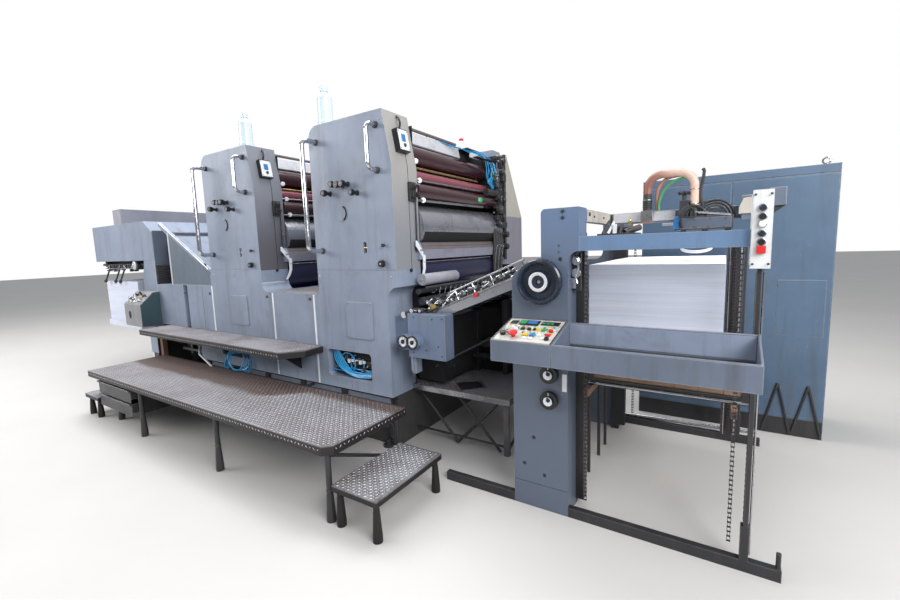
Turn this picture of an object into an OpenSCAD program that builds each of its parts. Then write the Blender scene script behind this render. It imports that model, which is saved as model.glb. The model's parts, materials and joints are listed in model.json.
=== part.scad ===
// Two-unit sheet-fed offset printing press with feeder, delivery, steps and control cabinet.
// +X runs from the delivery to the feeder, +Y from the operator side to the drive side.

/* [Printing units] */
// Distance between the two printing units
unit_pitch = 1307; // [1200:1:1500]
// Length of one unit's side along the press
unit_w = 678; // [640:1:760]
// Height of the printing units
unit_h = 2040; // [1980:1:2200]
// Operator face to drive face of the units
press_depth = 1870; // [1800:1:2000]
// Underside of the side covers above the floor
cover_z0 = 340; // [280:1:400]
// Height of the seam between the upper and lower side covers
seam_z = 1125; // [1080:1:1200]
// Depth of the sheet-metal side covers
cover_d = 100; // [70:1:120]
// Thickness of the cast side frames
frame_t = 138; // [90:1:145]
// Distance between the side frames, faces of the roller space
between_frames = 1140; // [1080:1:1200]
// Radius of the covers' rounded top corner
top_corner_r = 80; // [30:1:120]
// How far the first unit's upper cover overhangs its lower one
overhang = 75; // [40:1:100]
// Height of the overhang's underside
over_z = 1023; // [1015:1:1040]

/* [Rollers] */
// Radius of the plate and blanket cylinders
cylinder_r = 145; // [120:1:146]
// Radius of the upper inking roller
ink_a_r = 66; // [50:1:70]
// Radius of the middle inking roller
ink_b_r = 35; // [28:1:42]
// Radius of the lower inking roller
ink_c_r = 50; // [40:1:56]
// Radius of the large cylinders' journals
journal_r = 30; // [20:1:40]
// Radius of the inking rollers' journals
ink_journal_r = 14; // [8:1:20]

/* [Delivery] */
// Length of the delivery housing above the pile
delivery_len = 1385; // [1200:1:1500]
// Height of the delivery housing's roof
delivery_h = 1595; // [1500:1:1700]
// Underside of the delivery housing
delivery_under_z = 1218; // [1150:1:1300]
// Width of the delivery housing's leg
delivery_leg_w = 273; // [200:1:320]
// Distance from the delivery housing to the second unit
delivery_gap = 988; // [900:1:1100]
// Length of the paper pile in the delivery
delivery_pile_l = 780; // [600:1:900]
// Height of the paper pile in the delivery
delivery_pile_h = 440; // [200:1:500]

/* [Steps] */
// Height of the main platform
platform_z = 376; // [340:1:400]
// Length of the main platform
platform_l = 2750; // [2400:1:2900]
// Depth of the main platform
platform_d = 560; // [450:1:620]
// Thickness of the folded tread plates
tread_t = 45; // [30:1:60]
// Radius of the platform's legs
leg_r = 14; // [12:1:20]
// Height of the running board along the units
running_z = 610; // [560:1:680]
// Length of the running board
running_l = 2000; // [1600:1:2200]
// Depth of the running board
running_d = 270; // [200:1:300]
// Height of the small step
small_step_z = 200; // [160:1:260]

/* [Infeed] */
// Gap between the first unit and the feeder column
infeed_gap = 785; // [700:1:900]
// Height of the feed board at the feeder
feed_top_z = 1122; // [1080:1:1135]
// Height of the feed board at the first unit
feed_low_z = 866; // [840:1:900]
// Height of the infeed deck
infeed_deck_z = 376; // [340:1:420]

/* [Feeder] */
// How far the feeder stands out from the units' operator face
feeder_out = 119; // [80:1:160]
// Depth of the feeder over its side frames
feeder_depth = 1250; // [1200:1:1330]
// Width of the feeder's operator column
column_w = 262; // [220:1:300]
// Depth of the feeder's side columns
column_d = 120; // [90:1:130]
// Height of the column's shoulder
shoulder_z = 1138; // [1110:1:1180]
// Height of the feeder's head
feeder_h = 1397; // [1340:1:1450]
// Underside of the operator beam
beam_z = 1213; // [1190:1:1230]
// Height of the operator beam
beam_h = 61; // [45:1:80]
// Length of the beam to the button box
beam_l = 590; // [570:1:640]
// Radius of the handwheel
handwheel_r = 100; // [80:1:110]
// Thickness of the handwheel's rim
handwheel_t = 34; // [24:1:44]
// Length of the paper stack along the press
stack_l = 524; // [400:1:540]
// Top of the paper stack
stack_top_z = 1149; // [1000:1:1160]
// Top of the pile table
table_top_z = 660; // [600:1:700]

/* [Control cabinet] */
// Length of the cabinet along the press
cabinet_l = 1035; // [800:1:1200]
// Depth of the cabinet
cabinet_d = 450; // [350:1:500]
// Height of the cabinet
cabinet_h = 1650; // [1500:1:1800]

/* [Hidden] */
$fn = 48;

// Running clearance of a shaft in its bore, of a seat and of moving pieces
shaft_fit = 0.08;
seat_gap = 0.3;
move_gap = 6;

// Places along the press: x = 0 is the left face of the feeder column
unit_1_x = -infeed_gap - unit_w;
unit_2_x = unit_1_x - unit_pitch;
deck_l = unit_pitch - unit_w;
delivery_x1 = unit_2_x - delivery_gap;
delivery_x0 = delivery_x1 - delivery_len;
leg_x0 = delivery_x1 - delivery_leg_w;

// Depths: y = 0 is the operator face of the units
frame_y0 = cover_d;
frame_y1 = frame_y0 + frame_t;
far_frame_y0 = frame_y1 + between_frames;
far_frame_y1 = far_frame_y0 + frame_t;
feeder_y0 = -feeder_out;
feeder_y1 = feeder_y0 + feeder_depth;

// Cylinder and roller centres from the unit's left edge, heights hung from its top
plate_at = [565, unit_h - 655];
blanket_shift = -17;
blanket_gap = 2 * cylinder_r + move_gap;
blanket_at = [
    plate_at[0] + blanket_shift,
    plate_at[1] - sqrt(pow(blanket_gap, 2) - pow(blanket_shift, 2))
];
ink_a_at = [534, unit_h - 196];
ink_b_at = [588, unit_h - 333];
ink_c_at = [645, unit_h - 439];

// Platform
platform_gap = 160;
platform_x1 = unit_1_x + unit_w + 152;
platform_x0 = platform_x1 - platform_l;
platform_y1 = -platform_gap;
platform_y0 = platform_y1 - platform_d;

// Feeder
beam_reach = 45;
beam_x0 = column_w + beam_reach;
beam_x1 = beam_x0 + beam_l;
beam_d = 60;
tray_x1 = beam_x1 + 43;
pile_inset = 11;
table_x0 = beam_x0 + pile_inset;
table_x1 = table_x0 + 609;
table_t = 60;
stack_x0 = beam_x0;
stack_y0 = feeder_y0 + 164;
stack_y1 = feeder_y1 - 96;
cabinet_x0 = beam_x0 + 20;
cabinet_y1 = press_depth - 50;
cabinet_y0 = cabinet_y1 - cabinet_d;

// Whole extents, to centre the part on its own origin
x_min = delivery_x0;
x_max = cabinet_x0 + cabinet_l;
y_min = platform_y0;
y_max = press_depth;
origin = [(x_min + x_max) / 2, (y_min + y_max) / 2, 0];

// Helpers
module box(x0, x1, y0, y1, z0, z1) {
    translate([x0, y0, z0]) cube([x1 - x0, y1 - y0, z1 - z0]);
}
module plate_xz(y0, y1) {
    translate([0, y1, 0]) rotate([90, 0, 0]) linear_extrude(y1 - y0) children();
}
module plate_yz(x0, x1) {
    translate([x0, 0, 0]) rotate([90, 0, 90]) linear_extrude(x1 - x0) children();
}
module rod_x(x0, x1, y, z, r) {
    translate([x0, y, z]) rotate([0, 90, 0]) cylinder(h = x1 - x0, r = r);
}
module rod_y(x, y0, y1, z, r) {
    translate([x, y1, z]) rotate([90, 0, 0]) cylinder(h = y1 - y0, r = r);
}
module rod_z(x, y, z0, z1, r) {
    translate([x, y, z0]) cylinder(h = z1 - z0, r = r);
}
// A straight round bar from point a to point b
module bar(a, b, r) {
    d = b - a;
    l = norm(d);
    translate(a)
        rotate([0, acos(d[2] / l), atan2(d[1], d[0])])
            cylinder(h = l, r = r);
}
module rounded_rect(w, h, r) {
    translate([r, 0]) square([w - 2 * r, h]);
    translate([0, r]) square([w, h - 2 * r]);
    for (x = [r, w - r], y = [r, h - r]) translate([x, y]) circle(r = r);
}
module place() {
    translate(-origin) children();
}

// Base frame, the cast bed below the covers, with a foot under the delivery's leg
base_x1 = -infeed_gap - overhang - 20;
base_inset = 60;
skirt_l = 288;
delivery_z0 = 300;
foot_inset = 20;
foot_l = 120;
foot_y1 = 600;
module base_frame() {
    x0 = leg_x0 + foot_inset;
    color("dimgray") place() {
        box(unit_2_x - skirt_l, base_x1, base_inset, press_depth - base_inset, 0, cover_z0);
        box(x0, unit_2_x - skirt_l, foot_y1, press_depth - base_inset, 0, delivery_z0);
        box(x0, x0 + foot_l, 0, foot_y1, 0, delivery_z0);
    }
}

// Side view of a unit: rounded top corner, slanted top edge, and an overhang with its fillet
slant_dx = 57;
slant_drop = 313;
slant_z = unit_h - slant_drop;
module unit_profile(z0, over) {
    w = unit_w;
    w_low = unit_w - over;
    difference() {
        union() {
            polygon([
                [0, z0], [0, unit_h - top_corner_r], [top_corner_r, unit_h],
                [w - slant_dx, unit_h], [w, slant_z], [w, over_z], [w_low, over_z],
                [w_low, z0]
            ]);
            translate([top_corner_r, unit_h - top_corner_r]) circle(r = top_corner_r);
            if (over > 0) translate([w_low, over_z - over]) square(over);
        }
        if (over > 0) translate([w, over_z - over]) circle(r = over);
    }
}

// Cast side frames of a unit with the bores of its rollers, tied by the casing of the
// hidden roller train, a tie bar, the ink duct and the finger guard above the nip
tie_at = [520, unit_h - 1160];
tie_r = 30;
duct_x0 = 330;
duct_x1 = 520;
duct_drop = 50;
duct_h = 72;
duct_wall = 15;
duct_end = 20;
casing_x0 = 25;
casing_drop = 110;
bearing_wall = 40;
ink_bearing_wall = 60;
guard_out = 26;
guard_lean = 6;
guard_z0 = unit_h - 862;
guard_mid_z = unit_h - 801;
guard_z1 = unit_h - 757;
guard_lap = 30;
module unit_frame(u, over) {
    color("slategray") place() translate([u, 0, 0]) {
        difference() {
            union() {
                plate_xz(frame_y0, frame_y1) unit_profile(cover_z0, over);
                plate_xz(far_frame_y0, far_frame_y1) unit_profile(cover_z0, over);
            }
            for (a = [plate_at, blanket_at])
                rod_y(a[0], frame_y0 + bearing_wall, far_frame_y1 - bearing_wall, a[1],
                    journal_r + shaft_fit);
            for (a = [ink_a_at, ink_b_at, ink_c_at])
                rod_y(a[0], frame_y0 + ink_bearing_wall, far_frame_y1 - ink_bearing_wall, a[1],
                    ink_journal_r + shaft_fit);
        }
        rod_y(tie_at[0], frame_y1, far_frame_y0, tie_at[1], tie_r);
        difference() {
            box(duct_x0, duct_x1, frame_y1, far_frame_y0,
                unit_h - duct_drop - duct_h, unit_h - duct_drop);
            box(duct_x0 + duct_wall, duct_x1 - duct_wall, frame_y1 + duct_end,
                far_frame_y0 - duct_end, unit_h - duct_drop - duct_h + duct_wall, unit_h);
        }
        box(casing_x0, duct_x0, frame_y1, far_frame_y0, cover_z0, unit_h - casing_drop);
        plate_xz(frame_y1 - guard_lap, far_frame_y0 + guard_lap)
            polygon([
                [unit_w, guard_z0], [unit_w, guard_z1], [unit_w + guard_lean, guard_z1],
                [unit_w + guard_out, guard_mid_z], [unit_w + guard_out - guard_lean, guard_z0]
            ]);
    }
}

// Sheet-metal covers of the operator side, with the raised lid, the embossed disc, the seam,
// the level slot and the service opening
plate_lift = 8;
lid = [253, 690, 221, 235];
lid_r = 12;
disc_at = [259, 1479];
disc_r = 50;
disc_lift = 3;
seam_w = 3;
slot = [426, 1226, 30, 70];
slot_depth = 30;
slot_r = 14;
opening = [48, 415, 392, 181];
opening_depth = 70;
opening_r = 25;
module panel(at, r) {
    translate([at[0], at[1]]) rounded_rect(at[2], at[3], r);
}
module unit_covers(u, left_ext, over) {
    color("slategray") place() translate([u, 0, 0]) {
        difference() {
            plate_xz(0, cover_d) unit_profile(cover_z0, over);
            box(-1, unit_w + 1, -1, seam_w, seam_z - seam_w / 2, seam_z + seam_w / 2);
            plate_xz(-1, opening_depth) panel(opening, opening_r);
            plate_xz(-1, slot_depth) panel(slot, slot_r);
        }
        plate_xz(-plate_lift, 0) panel(lid, lid_r);
        rod_y(disc_at[0], -disc_lift, 0, disc_at[1], disc_r);
        if (left_ext > 0) box(-left_ext, 0, 0, cover_d, cover_z0, running_z - tread_t);
    }
}

// Drive-side cover, sloping inwards above its shoulder
drive_slope_z = unit_h - 540;
drive_drop = 20;
drive_ledge = 40;
drive_short = 14;
module drive_cover(u) {
    color("lightslategray") place() translate([u, 0, 0])
        plate_yz(0, unit_w - drive_short)
            polygon([
                [far_frame_y1, cover_z0], [press_depth, cover_z0],
                [press_depth, drive_slope_z], [far_frame_y1 + drive_ledge, unit_h - drive_drop],
                [far_frame_y1, unit_h - drive_drop]
            ]);
}

// A cylinder or roller with its journals, which turn in the frames' blind bores
end_gap = 1;
// How far the inking rollers' drums end from the far frame
ink_end = 112;
module roller(u, at, r, jr, deep, end = move_gap) {
    place() translate([u, 0, 0]) {
        rod_y(at[0], frame_y1 + move_gap, far_frame_y0 - end, at[1], r);
        rod_y(at[0], frame_y1 - deep + end_gap, far_frame_y0 + deep - end_gap, at[1], jr);
    }
}
// A cylinder with the channel that clamps its plate or blanket
channel_d = 25;
module channelled_cylinder(u, at, turn, half_w) {
    difference() {
        roller(u, at, cylinder_r, journal_r, frame_t - bearing_wall);
        place() translate([u + at[0], 0, at[1]]) rotate([0, turn, 0])
            box(cylinder_r - channel_d, cylinder_r + 5, frame_y1, far_frame_y0, -half_w, half_w);
    }
}
module plate_cylinder(u) {
    color("gray") channelled_cylinder(u, plate_at, 200, 22);
}
module blanket_cylinder(u) {
    color("royalblue") channelled_cylinder(u, blanket_at, 160, 18);
}
module ink_roller(u, at, r, c) {
    color(c) roller(u, at, r, ink_journal_r, frame_t - ink_bearing_wall, ink_end);
}

// Chromed grab handles of both units, bent from round bar
module u_handle(x, z0, z1, out, r, bend) {
    for (z = [z0, z1]) rod_y(x, -out + bend, 0, z, r);
    rod_z(x, -out, z0 + bend, z1 - bend, r);
    for (s = [0, 1])
        translate([x, -out + bend, s == 0 ? z0 + bend : z1 - bend])
            rotate([0, -90, 0]) rotate([0, 0, s == 0 ? 180 : -90])
                rotate_extrude(angle = 90) translate([bend, 0]) circle(r = r);
}
rail_at = [68, unit_h - 789, unit_h - 105];
rail_out = 114;
rail_r = 15;
grip_at = [575, unit_h - 337, unit_h - 84];
grip_out = 80;
grip_r = 12;
handle_bend = 38;
module handrails() {
    color("silver") place() for (u = [unit_1_x, unit_2_x]) translate([u, 0, 0]) {
        u_handle(rail_at[0], rail_at[1], rail_at[2], rail_out, rail_r, handle_bend);
        u_handle(grip_at[0], grip_at[1], grip_at[2], grip_out, grip_r, handle_bend);
    }
}

// Adjusting knobs and switch boxes of both units
row_drop = 390;
knobs = [[168, -43], [239, 4], [287, -2], [330, 0], [405, -59]];
knob_r = 18;
knob_out = 66;
module knob(x, z, r, l) {
    rod_y(x, -l, 0, z, r * 0.55);
    rod_y(x, -l, -l * 0.55, z, r);
}
// Point on the slanted front edge of a unit, s along it from the top and t outwards
slant_l = norm([slant_dx, slant_drop]);
function slant_at(s, t) = [
    unit_w - slant_dx + (slant_dx * s + slant_drop * t) / slant_l,
    unit_h + (-slant_drop * s + slant_dx * t) / slant_l
];
switch_s = [110, 240];
switch_y = [62, 160];
switch_t = 36;
module unit_controls() {
    color("black") place() for (u = [unit_1_x, unit_2_x]) translate([u, 0, 0]) {
        for (k = knobs) knob(k[0], unit_h - row_drop + k[1], knob_r, knob_out);
        knob(600, seam_z + 146, 10, 22);
        knob(584, seam_z + 39, 19, 30);
        plate_xz(switch_y[0], switch_y[1])
            polygon([
                slant_at(switch_s[0], seat_gap), slant_at(switch_s[1], seat_gap),
                slant_at(switch_s[1], switch_t), slant_at(switch_s[0], switch_t)
            ]);
    }
}

// Bottles of damping solution on the units: foot ring, body, shoulder, neck and cap
bottle_y = 66;
bottle_at = [[unit_1_x + 100, bottle_y], [unit_2_x + 540, bottle_y]];
module solution_bottles() {
    color("lightblue") place() for (at = bottle_at)
        translate([at[0], at[1], unit_h])
            rotate_extrude() polygon([
                [0, 0], [50, 0], [50, 28], [46, 32], [46, 176], [34, 200], [20, 210],
                [20, 214], [25, 214], [25, 245], [0, 245]
            ]);
}

// Chequered walkway between the units on its side panels, coved up to the second unit
deck_z = 962;
deck_t = 12;
cove_r = 70;
walk_x0 = unit_1_x - deck_l;
walk_y1 = press_depth - 60;
module walkway() {
    color("slategray") place() {
        box(walk_x0, unit_1_x, 0, frame_y1, cover_z0, deck_z);
        box(walk_x0, unit_1_x, frame_y1, far_frame_y0, deck_z - deck_t, deck_z);
        box(walk_x0, unit_1_x, far_frame_y0, walk_y1, cover_z0, deck_z);
        plate_xz(0, frame_y1) translate([walk_x0, deck_z]) difference() {
            square(cove_r);
            translate([cove_r, cove_r]) circle(r = cove_r);
        }
    }
}

// Blue air hoses: loops inside the first unit's service opening, and a hank that hangs out
// below the running board at the second unit
hose_r = 5;
hank_at = [385, -80, 395];
hank_r = 92;
module hose_ring(at, y, r, turn, swing = 0) {
    translate([at[0], y, at[1]]) rotate([0, 0, swing]) rotate([90, 0, 0]) rotate([0, 0, turn])
        rotate_extrude(angle = 300) translate([r, 0]) circle(r = hose_r);
}
module service_hoses() {
    color("deepskyblue") place() {
        translate([unit_1_x, 0, 0]) {
            hose_ring([190, 505], 42, 66, -60);
            hose_ring([265, 500], 53, 60, 100);
            for (k = [0 : 1])
                rod_x(opening[0], opening[0] + opening[2], 36 + 14 * k, 447 + 18 * k, hose_r);
        }
        translate([unit_2_x, 0, 0]) {
            for (k = [0 : 2])
                hose_ring([hank_at[0] + 8 * k, hank_at[2] - 6 * k], hank_at[1], hank_r + 4 * k,
                    60 + 10 * k, 20 + 10 * k);
            bar([hank_at[0], opening_depth, 500], [hank_at[0], hank_at[1], hank_at[2] + hank_r],
                hose_r);
            rod_x(opening[0], opening[0] + opening[2], 50, 455, hose_r);
        }
    }
}

// Delivery housing: roof with a chamfered shoulder, cantilevered over the pile
shoulder_dx = 151;
shoulder_drop = 108;
leg_dx = 58;
leg_notch_z = 1055;
module delivery_profile() {
    polygon([
        [delivery_x0, delivery_under_z], [delivery_x0, delivery_h],
        [delivery_x1 - shoulder_dx, delivery_h], [delivery_x1, delivery_h - shoulder_drop],
        [delivery_x1, delivery_z0], [leg_x0, delivery_z0], [leg_x0, leg_notch_z],
        [leg_x0 + leg_dx, delivery_under_z]
    ]);
}
// Open corner at the foot of the delivery's leg: length, depth and top
foot_gap = [130, 300, 592];
module delivery_housing() {
    color("slategray") place() difference() {
        plate_xz(0, press_depth) delivery_profile();
        box(delivery_x1 - foot_gap[0], delivery_x1 + 1, -1, foot_gap[1], delivery_z0 - 1,
            foot_gap[2]);
    }
}
// Inclined hood down to the second unit, with a raised lip along both sides; its front lies
// back between the housing and the lip's foot
recess_l = 312;
recess_y = 150;
hood_z0 = 990;
hood_low_z = 1130;
hood_high_z = delivery_h - 127;
hood_y1 = press_depth - 100;
hood_foot = 47;
lip_w = 22;
lip_h = 34;
lip_x0 = delivery_x1 + 150;
lip_x1 = unit_2_x - hood_foot;
lip_z0 = delivery_h - 32;
module delivery_hood() {
    hood_x = delivery_x1 + recess_l;
    color("slategray") place() {
        box(delivery_x1, hood_x, recess_y, hood_y1, hood_z0, hood_high_z - lip_h);
        plate_xz(0, hood_y1)
            polygon([
                [hood_x, hood_z0], [hood_x, hood_high_z - lip_h], [lip_x1, hood_low_z - lip_h],
                [unit_2_x, hood_low_z - lip_h], [unit_2_x, hood_z0]
            ]);
        for (y = [0, hood_y1 - lip_w])
            plate_xz(y, y + lip_w)
                polygon([
                    [hood_x, hood_high_z - lip_h - 1], [hood_x, hood_high_z - lip_h],
                    [lip_x0, lip_z0 - lip_h], [lip_x0, lip_z0], [lip_x1, hood_low_z],
                    [unit_2_x, hood_low_z], [unit_2_x, hood_low_z - lip_h - 1]
                ]);
    }
}
// Side panels below the hood, with an open slot between the first two
panel_z0 = running_z;
panel_d = 60;
slot_x0 = delivery_x1 + 490;
slot_x1 = delivery_x1 + 560;
module delivery_side_panels() {
    color("slategray") place() {
        box(delivery_x1, slot_x0, 0, panel_d, panel_z0, hood_z0);
        box(slot_x1, unit_2_x, 0, panel_d, panel_z0, hood_z0);
        box(delivery_x1, unit_2_x, panel_d, press_depth - panel_d, panel_z0, hood_z0);
    }
}
// Cross box on the roof of the delivery
duct_inset = 25;
duct_l = 218;
duct_up = 200;
duct_y0 = 200;
module delivery_duct() {
    x0 = delivery_x0 + duct_inset;
    color("gray") place()
        box(x0, x0 + duct_l, duct_y0, press_depth - duct_y0, delivery_h, delivery_h + duct_up);
}
console_outline = [[0, 590], [-178, 604], [-178, 810], [-60, 920], [0, 924]];
console_x1 = delivery_x1 + 33;
console_l = 337;
module delivery_console() {
    color("lightgray") place()
        plate_yz(console_x1 - console_l, console_x1)
            polygon(console_outline);
}
// Levers on their hubs, the beam and rod that carry them, and the hand disc, all below the
// cantilever
works_h = 60;
works_y = [100, 180];
hanger_w = 40;
hanger_y0 = 40;
guide_rod_r = 12;
guide_rod_drop = 38;
hand_disc_r = 45;
hub_y0 = 30;
lever_hub_r = 22;
lever_swing = [-110, -20, -155];
lever_r = 8;
lever_ball_r = 17;
lever_dxs = [243, 503, 623];
module delivery_levers() {
    z0 = delivery_under_z - works_h;
    y1 = works_y[0] + 10;
    color("black") place() {
        box(delivery_x0 + 60, leg_x0 + 15, works_y[0], works_y[1], z0, delivery_under_z);
        rod_x(delivery_x0 + 20, leg_x0 + 10, 60, delivery_under_z - guide_rod_drop, guide_rod_r);
        for (x = [delivery_x0 + 120, leg_x0 - 60])
            box(x, x + hanger_w, hanger_y0, y1, z0, delivery_under_z);
        rod_y(leg_x0 - 190, 20, y1, z0 + 14, hand_disc_r);
        for (dx = lever_dxs) {
            hub = [delivery_x0 + dx, hanger_y0, z0];
            rod_y(hub[0], hub_y0, y1, z0, lever_hub_r);
            bar(hub, hub + lever_swing, lever_r);
            translate(hub + lever_swing) sphere(r = lever_ball_r);
        }
    }
}
// Paper pile in the delivery on its board, which the brackets hold to the leg's guides
pile_x0 = delivery_x0 + 33;
pile_x1 = pile_x0 + delivery_pile_l;
pile_z0 = 560;
pile_table_t = 60;
bracket_drop = 120;
bracket_w = 60;
bracket_ys = [300, 900];
pile_y0 = 60;
pile_y1 = 1100;
pile_over = 20;
module delivery_pile() {
    color("white") place() {
        box(pile_x0, pile_x1, pile_y0, pile_y1, pile_z0, pile_z0 + delivery_pile_h);
        box(pile_x0, pile_x1 + pile_over, pile_y0 - pile_over, pile_y1 + pile_over,
            pile_z0 - pile_table_t, pile_z0);
        for (y = bracket_ys)
            box(pile_x1, leg_x0 - seat_gap, y, y + bracket_w, pile_z0 - bracket_drop, pile_z0);
    }
}

// Steps
brace_t = 12;
brace_reach = 180;
brace_z0 = 420;
brace_xs = [-250, -1120, -1850];
board_over = 100;
board_cut = [110, 120];
module tread_outline(x0, x1, y0, y1, cut) {
    polygon([[x0, y0], [x1 - cut[0], y0], [x1, y0 + cut[1]], [x1, y1], [x0, y1]]);
}
module running_board() {
    x1 = unit_1_x;
    color("gray") place() {
        translate([0, 0, running_z - tread_t]) linear_extrude(tread_t)
            tread_outline(x1 - running_l - board_over, x1, -running_d, 0, board_cut);
        for (x = brace_xs)
            plate_yz(x1 + x, x1 + x + brace_t)
                polygon([[0, running_z - tread_t], [-brace_reach, running_z - tread_t], [0, brace_z0]]);
    }
}
// Deck of chequer plate with folded edges and one clipped corner
fold_t = 6;
deck_cut = [40, 40];
module platform_deck() {
    color("gray") place() difference() {
        translate([0, 0, platform_z - tread_t]) linear_extrude(tread_t)
            tread_outline(platform_x0, platform_x1, platform_y0, platform_y1, deck_cut);
        translate([0, 0, platform_z - tread_t - 1]) linear_extrude(tread_t + 1 - fold_t)
            tread_outline(platform_x0 + fold_t, platform_x1 - fold_t, platform_y0 + fold_t,
                platform_y1 - fold_t, deck_cut);
    }
}
// Legs of thin tube in bottle-shaped feet, with cross tubes to the bed
leg_inset = 35;
leg_xs = [platform_x1 - 40, platform_x1 - 979, platform_x1 - 1938];
short_leg_x = platform_x0 + 282;
foot_h = 150;
foot_pad_h = 30;
foot_extra = 8;
module leg(x, y, top) {
    rod_z(x, y, 0, top, leg_r);
    rod_z(x, y, 0, foot_pad_h, leg_r + foot_extra);
    translate([x, y, foot_pad_h])
        cylinder(h = min(foot_h, top - 30) - foot_pad_h, r1 = leg_r + foot_extra, r2 = leg_r + 1);
}
module cross_tube(x) {
    y1 = x < base_x1 ? base_inset : platform_y1 - leg_inset;
    rod_y(x, platform_y0 + leg_inset, y1, platform_z - 60, leg_r * 0.8);
}
module platform_legs() {
    color("black") place() {
        for (x = leg_xs) {
            for (y = [platform_y0 + leg_inset, platform_y1 - leg_inset])
                leg(x, y, platform_z - fold_t);
            cross_tube(x);
        }
        for (y = [platform_y0 + 90, platform_y1 - 70]) leg(short_leg_x, y, drawer_z0 - 20);
    }
}
drawer_x0 = platform_x0 + 150;
drawer_w = 550;
drawer_z0 = 148;
drawer_h = 66;
drawer_pitch = 101;
drawer_d = 420;
drawer_wall = 5;
side_t = 12;
shelf_l = 20;
shelf_t = 10;
drawer_y0 = platform_y0 + 4;
cabinet_front = platform_y0 + 60;
module drawer_cabinet() {
    x0 = drawer_x0 - side_t - move_gap;
    x1 = drawer_x0 + drawer_w + move_gap;
    y1 = platform_y1 - 40;
    color("dimgray") place() {
        for (x = [x0, x1])
            box(x, x + side_t, cabinet_front, y1, drawer_z0 - shelf_t, platform_z - fold_t);
        box(x0, x1 + side_t, cabinet_front, y1, drawer_z0 - 2 * shelf_t, drawer_z0 - shelf_t);
        for (k = [0, 1], x = [x0 + side_t, x1 - shelf_l])
            box(x, x + shelf_l, cabinet_front, y1, drawer_z0 + k * drawer_pitch - shelf_t,
                drawer_z0 + k * drawer_pitch - seat_gap);
    }
}
// Open drawer with a folded pull along the top of its front
pull_t = 14;
pull_h = 10;
module drawer(k) {
    z = drawer_z0 + k * drawer_pitch;
    color("gray") place() {
        difference() {
            box(drawer_x0, drawer_x0 + drawer_w, drawer_y0 + pull_t, drawer_y0 + drawer_d,
                z, z + drawer_h);
            box(drawer_x0 + drawer_wall, drawer_x0 + drawer_w - drawer_wall,
                drawer_y0 + pull_t + drawer_wall, drawer_y0 + drawer_d - drawer_wall,
                z + drawer_wall, z + drawer_h + 1);
        }
        box(drawer_x0, drawer_x0 + drawer_w, drawer_y0, drawer_y0 + pull_t,
            z + drawer_h - pull_h, z + drawer_h);
    }
}
step_x0 = platform_x1 + 1;
step_l = 270;
step_y0 = -709;
step_d = 490;
step_t = 30;
step_inset = 25;
module small_step() {
    color("gray") place() {
        box(step_x0, step_x0 + step_l, step_y0, step_y0 + step_d, small_step_z - step_t, small_step_z);
        for (x = [step_x0 + step_inset, step_x0 + step_l - step_inset],
             y = [step_y0 + step_inset, step_y0 + step_d - step_inset])
            leg(x, y, small_step_z - step_t);
    }
}
end_z = 175;
module end_step() {
    color("gray") place() {
        box(platform_x0 - 120, drawer_x0 - side_t - move_gap, platform_y0, platform_y0 + 250,
            end_z - step_t, end_z);
        for (x = [platform_x0 - 90, platform_x0 + 70], y = [platform_y0 + 30, platform_y0 + 220])
            leg(x, y, end_z - step_t);
    }
}

// Infeed: side box with its two gauges on an arm from the first unit
side_box = [-733, -473, 20, 110, 610, 870];
gauge_xs = [-735, -668];
gauge_r = 40;
gauge_out = 50;
gauge_z = 712;
module infeed_side_box() {
    b = side_box;
    color("slategray") place() {
        box(b[0], b[1], b[2], b[3], b[4], b[5]);
        box(-infeed_gap - overhang, b[0], b[2] + 40, b[3], b[4] + 30, b[5] - 30);
        for (x = gauge_xs) rod_y(x, b[2] - gauge_out, b[2], gauge_z, gauge_r);
    }
}
// Sloping feed board between its two side rails, with the crossing rods of the tapes
feed_x0 = -660;
feed_x1 = 0;
feed_y = [110, 1180];
rail_w = 26;
rail_h = 65;
board_drop = 40;
board_t = 12;
tape_rod_r = 10;
feed_slope = (feed_top_z - feed_low_z) / (feed_x1 - feed_x0);
function feed_z(x) = feed_low_z + (x - feed_x0) * feed_slope;
module feed_strip(top, t) {
    polygon([
        [feed_x0, feed_z(feed_x0) - top - t], [feed_x0, feed_z(feed_x0) - top],
        [feed_x1, feed_z(feed_x1) - top], [feed_x1, feed_z(feed_x1) - top - t]
    ]);
}
module feed_board() {
    color("gray") place() {
        for (y = [feed_y[0], feed_y[1] - rail_w]) plate_xz(y, y + rail_w) feed_strip(0, rail_h);
        plate_xz(feed_y[0], feed_y[1]) feed_strip(board_drop, board_t);
        for (x = [feed_x0 + 60, feed_x1 - 60])
            rod_y(x, feed_y[0], feed_y[1], feed_z(x) - board_drop + tape_rod_r, tape_rod_r);
    }
}
// Low deck between the first unit and the feeder, with a diamond finger hole
hatch_at = [-500, 335];
hatch_w = 135;
infeed_x0 = base_x1 - 60;
infeed_x1 = -170;
infeed_y0 = 200;
infeed_y1 = 1100;
infeed_leg_x = -240;
infeed_leg_w = 30;
module infeed_deck() {
    clear_x = -infeed_gap - overhang + 5;
    clear_y = frame_y1 + 5;
    color("gray") place() {
        translate([0, 0, cover_z0]) linear_extrude(infeed_deck_z - cover_z0) difference() {
            polygon([
                [infeed_x0, clear_y], [clear_x, clear_y], [clear_x, infeed_y0],
                [infeed_x1, infeed_y0], [infeed_x1, infeed_y1], [infeed_x0, infeed_y1]
            ]);
            translate(hatch_at) rotate(45) square(hatch_w, center = true);
        }
        for (y = [infeed_y0 + 60, infeed_y1 - 60])
            box(infeed_leg_x, infeed_leg_x + infeed_leg_w, y, y + infeed_leg_w, 0, cover_z0);
    }
}

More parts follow.
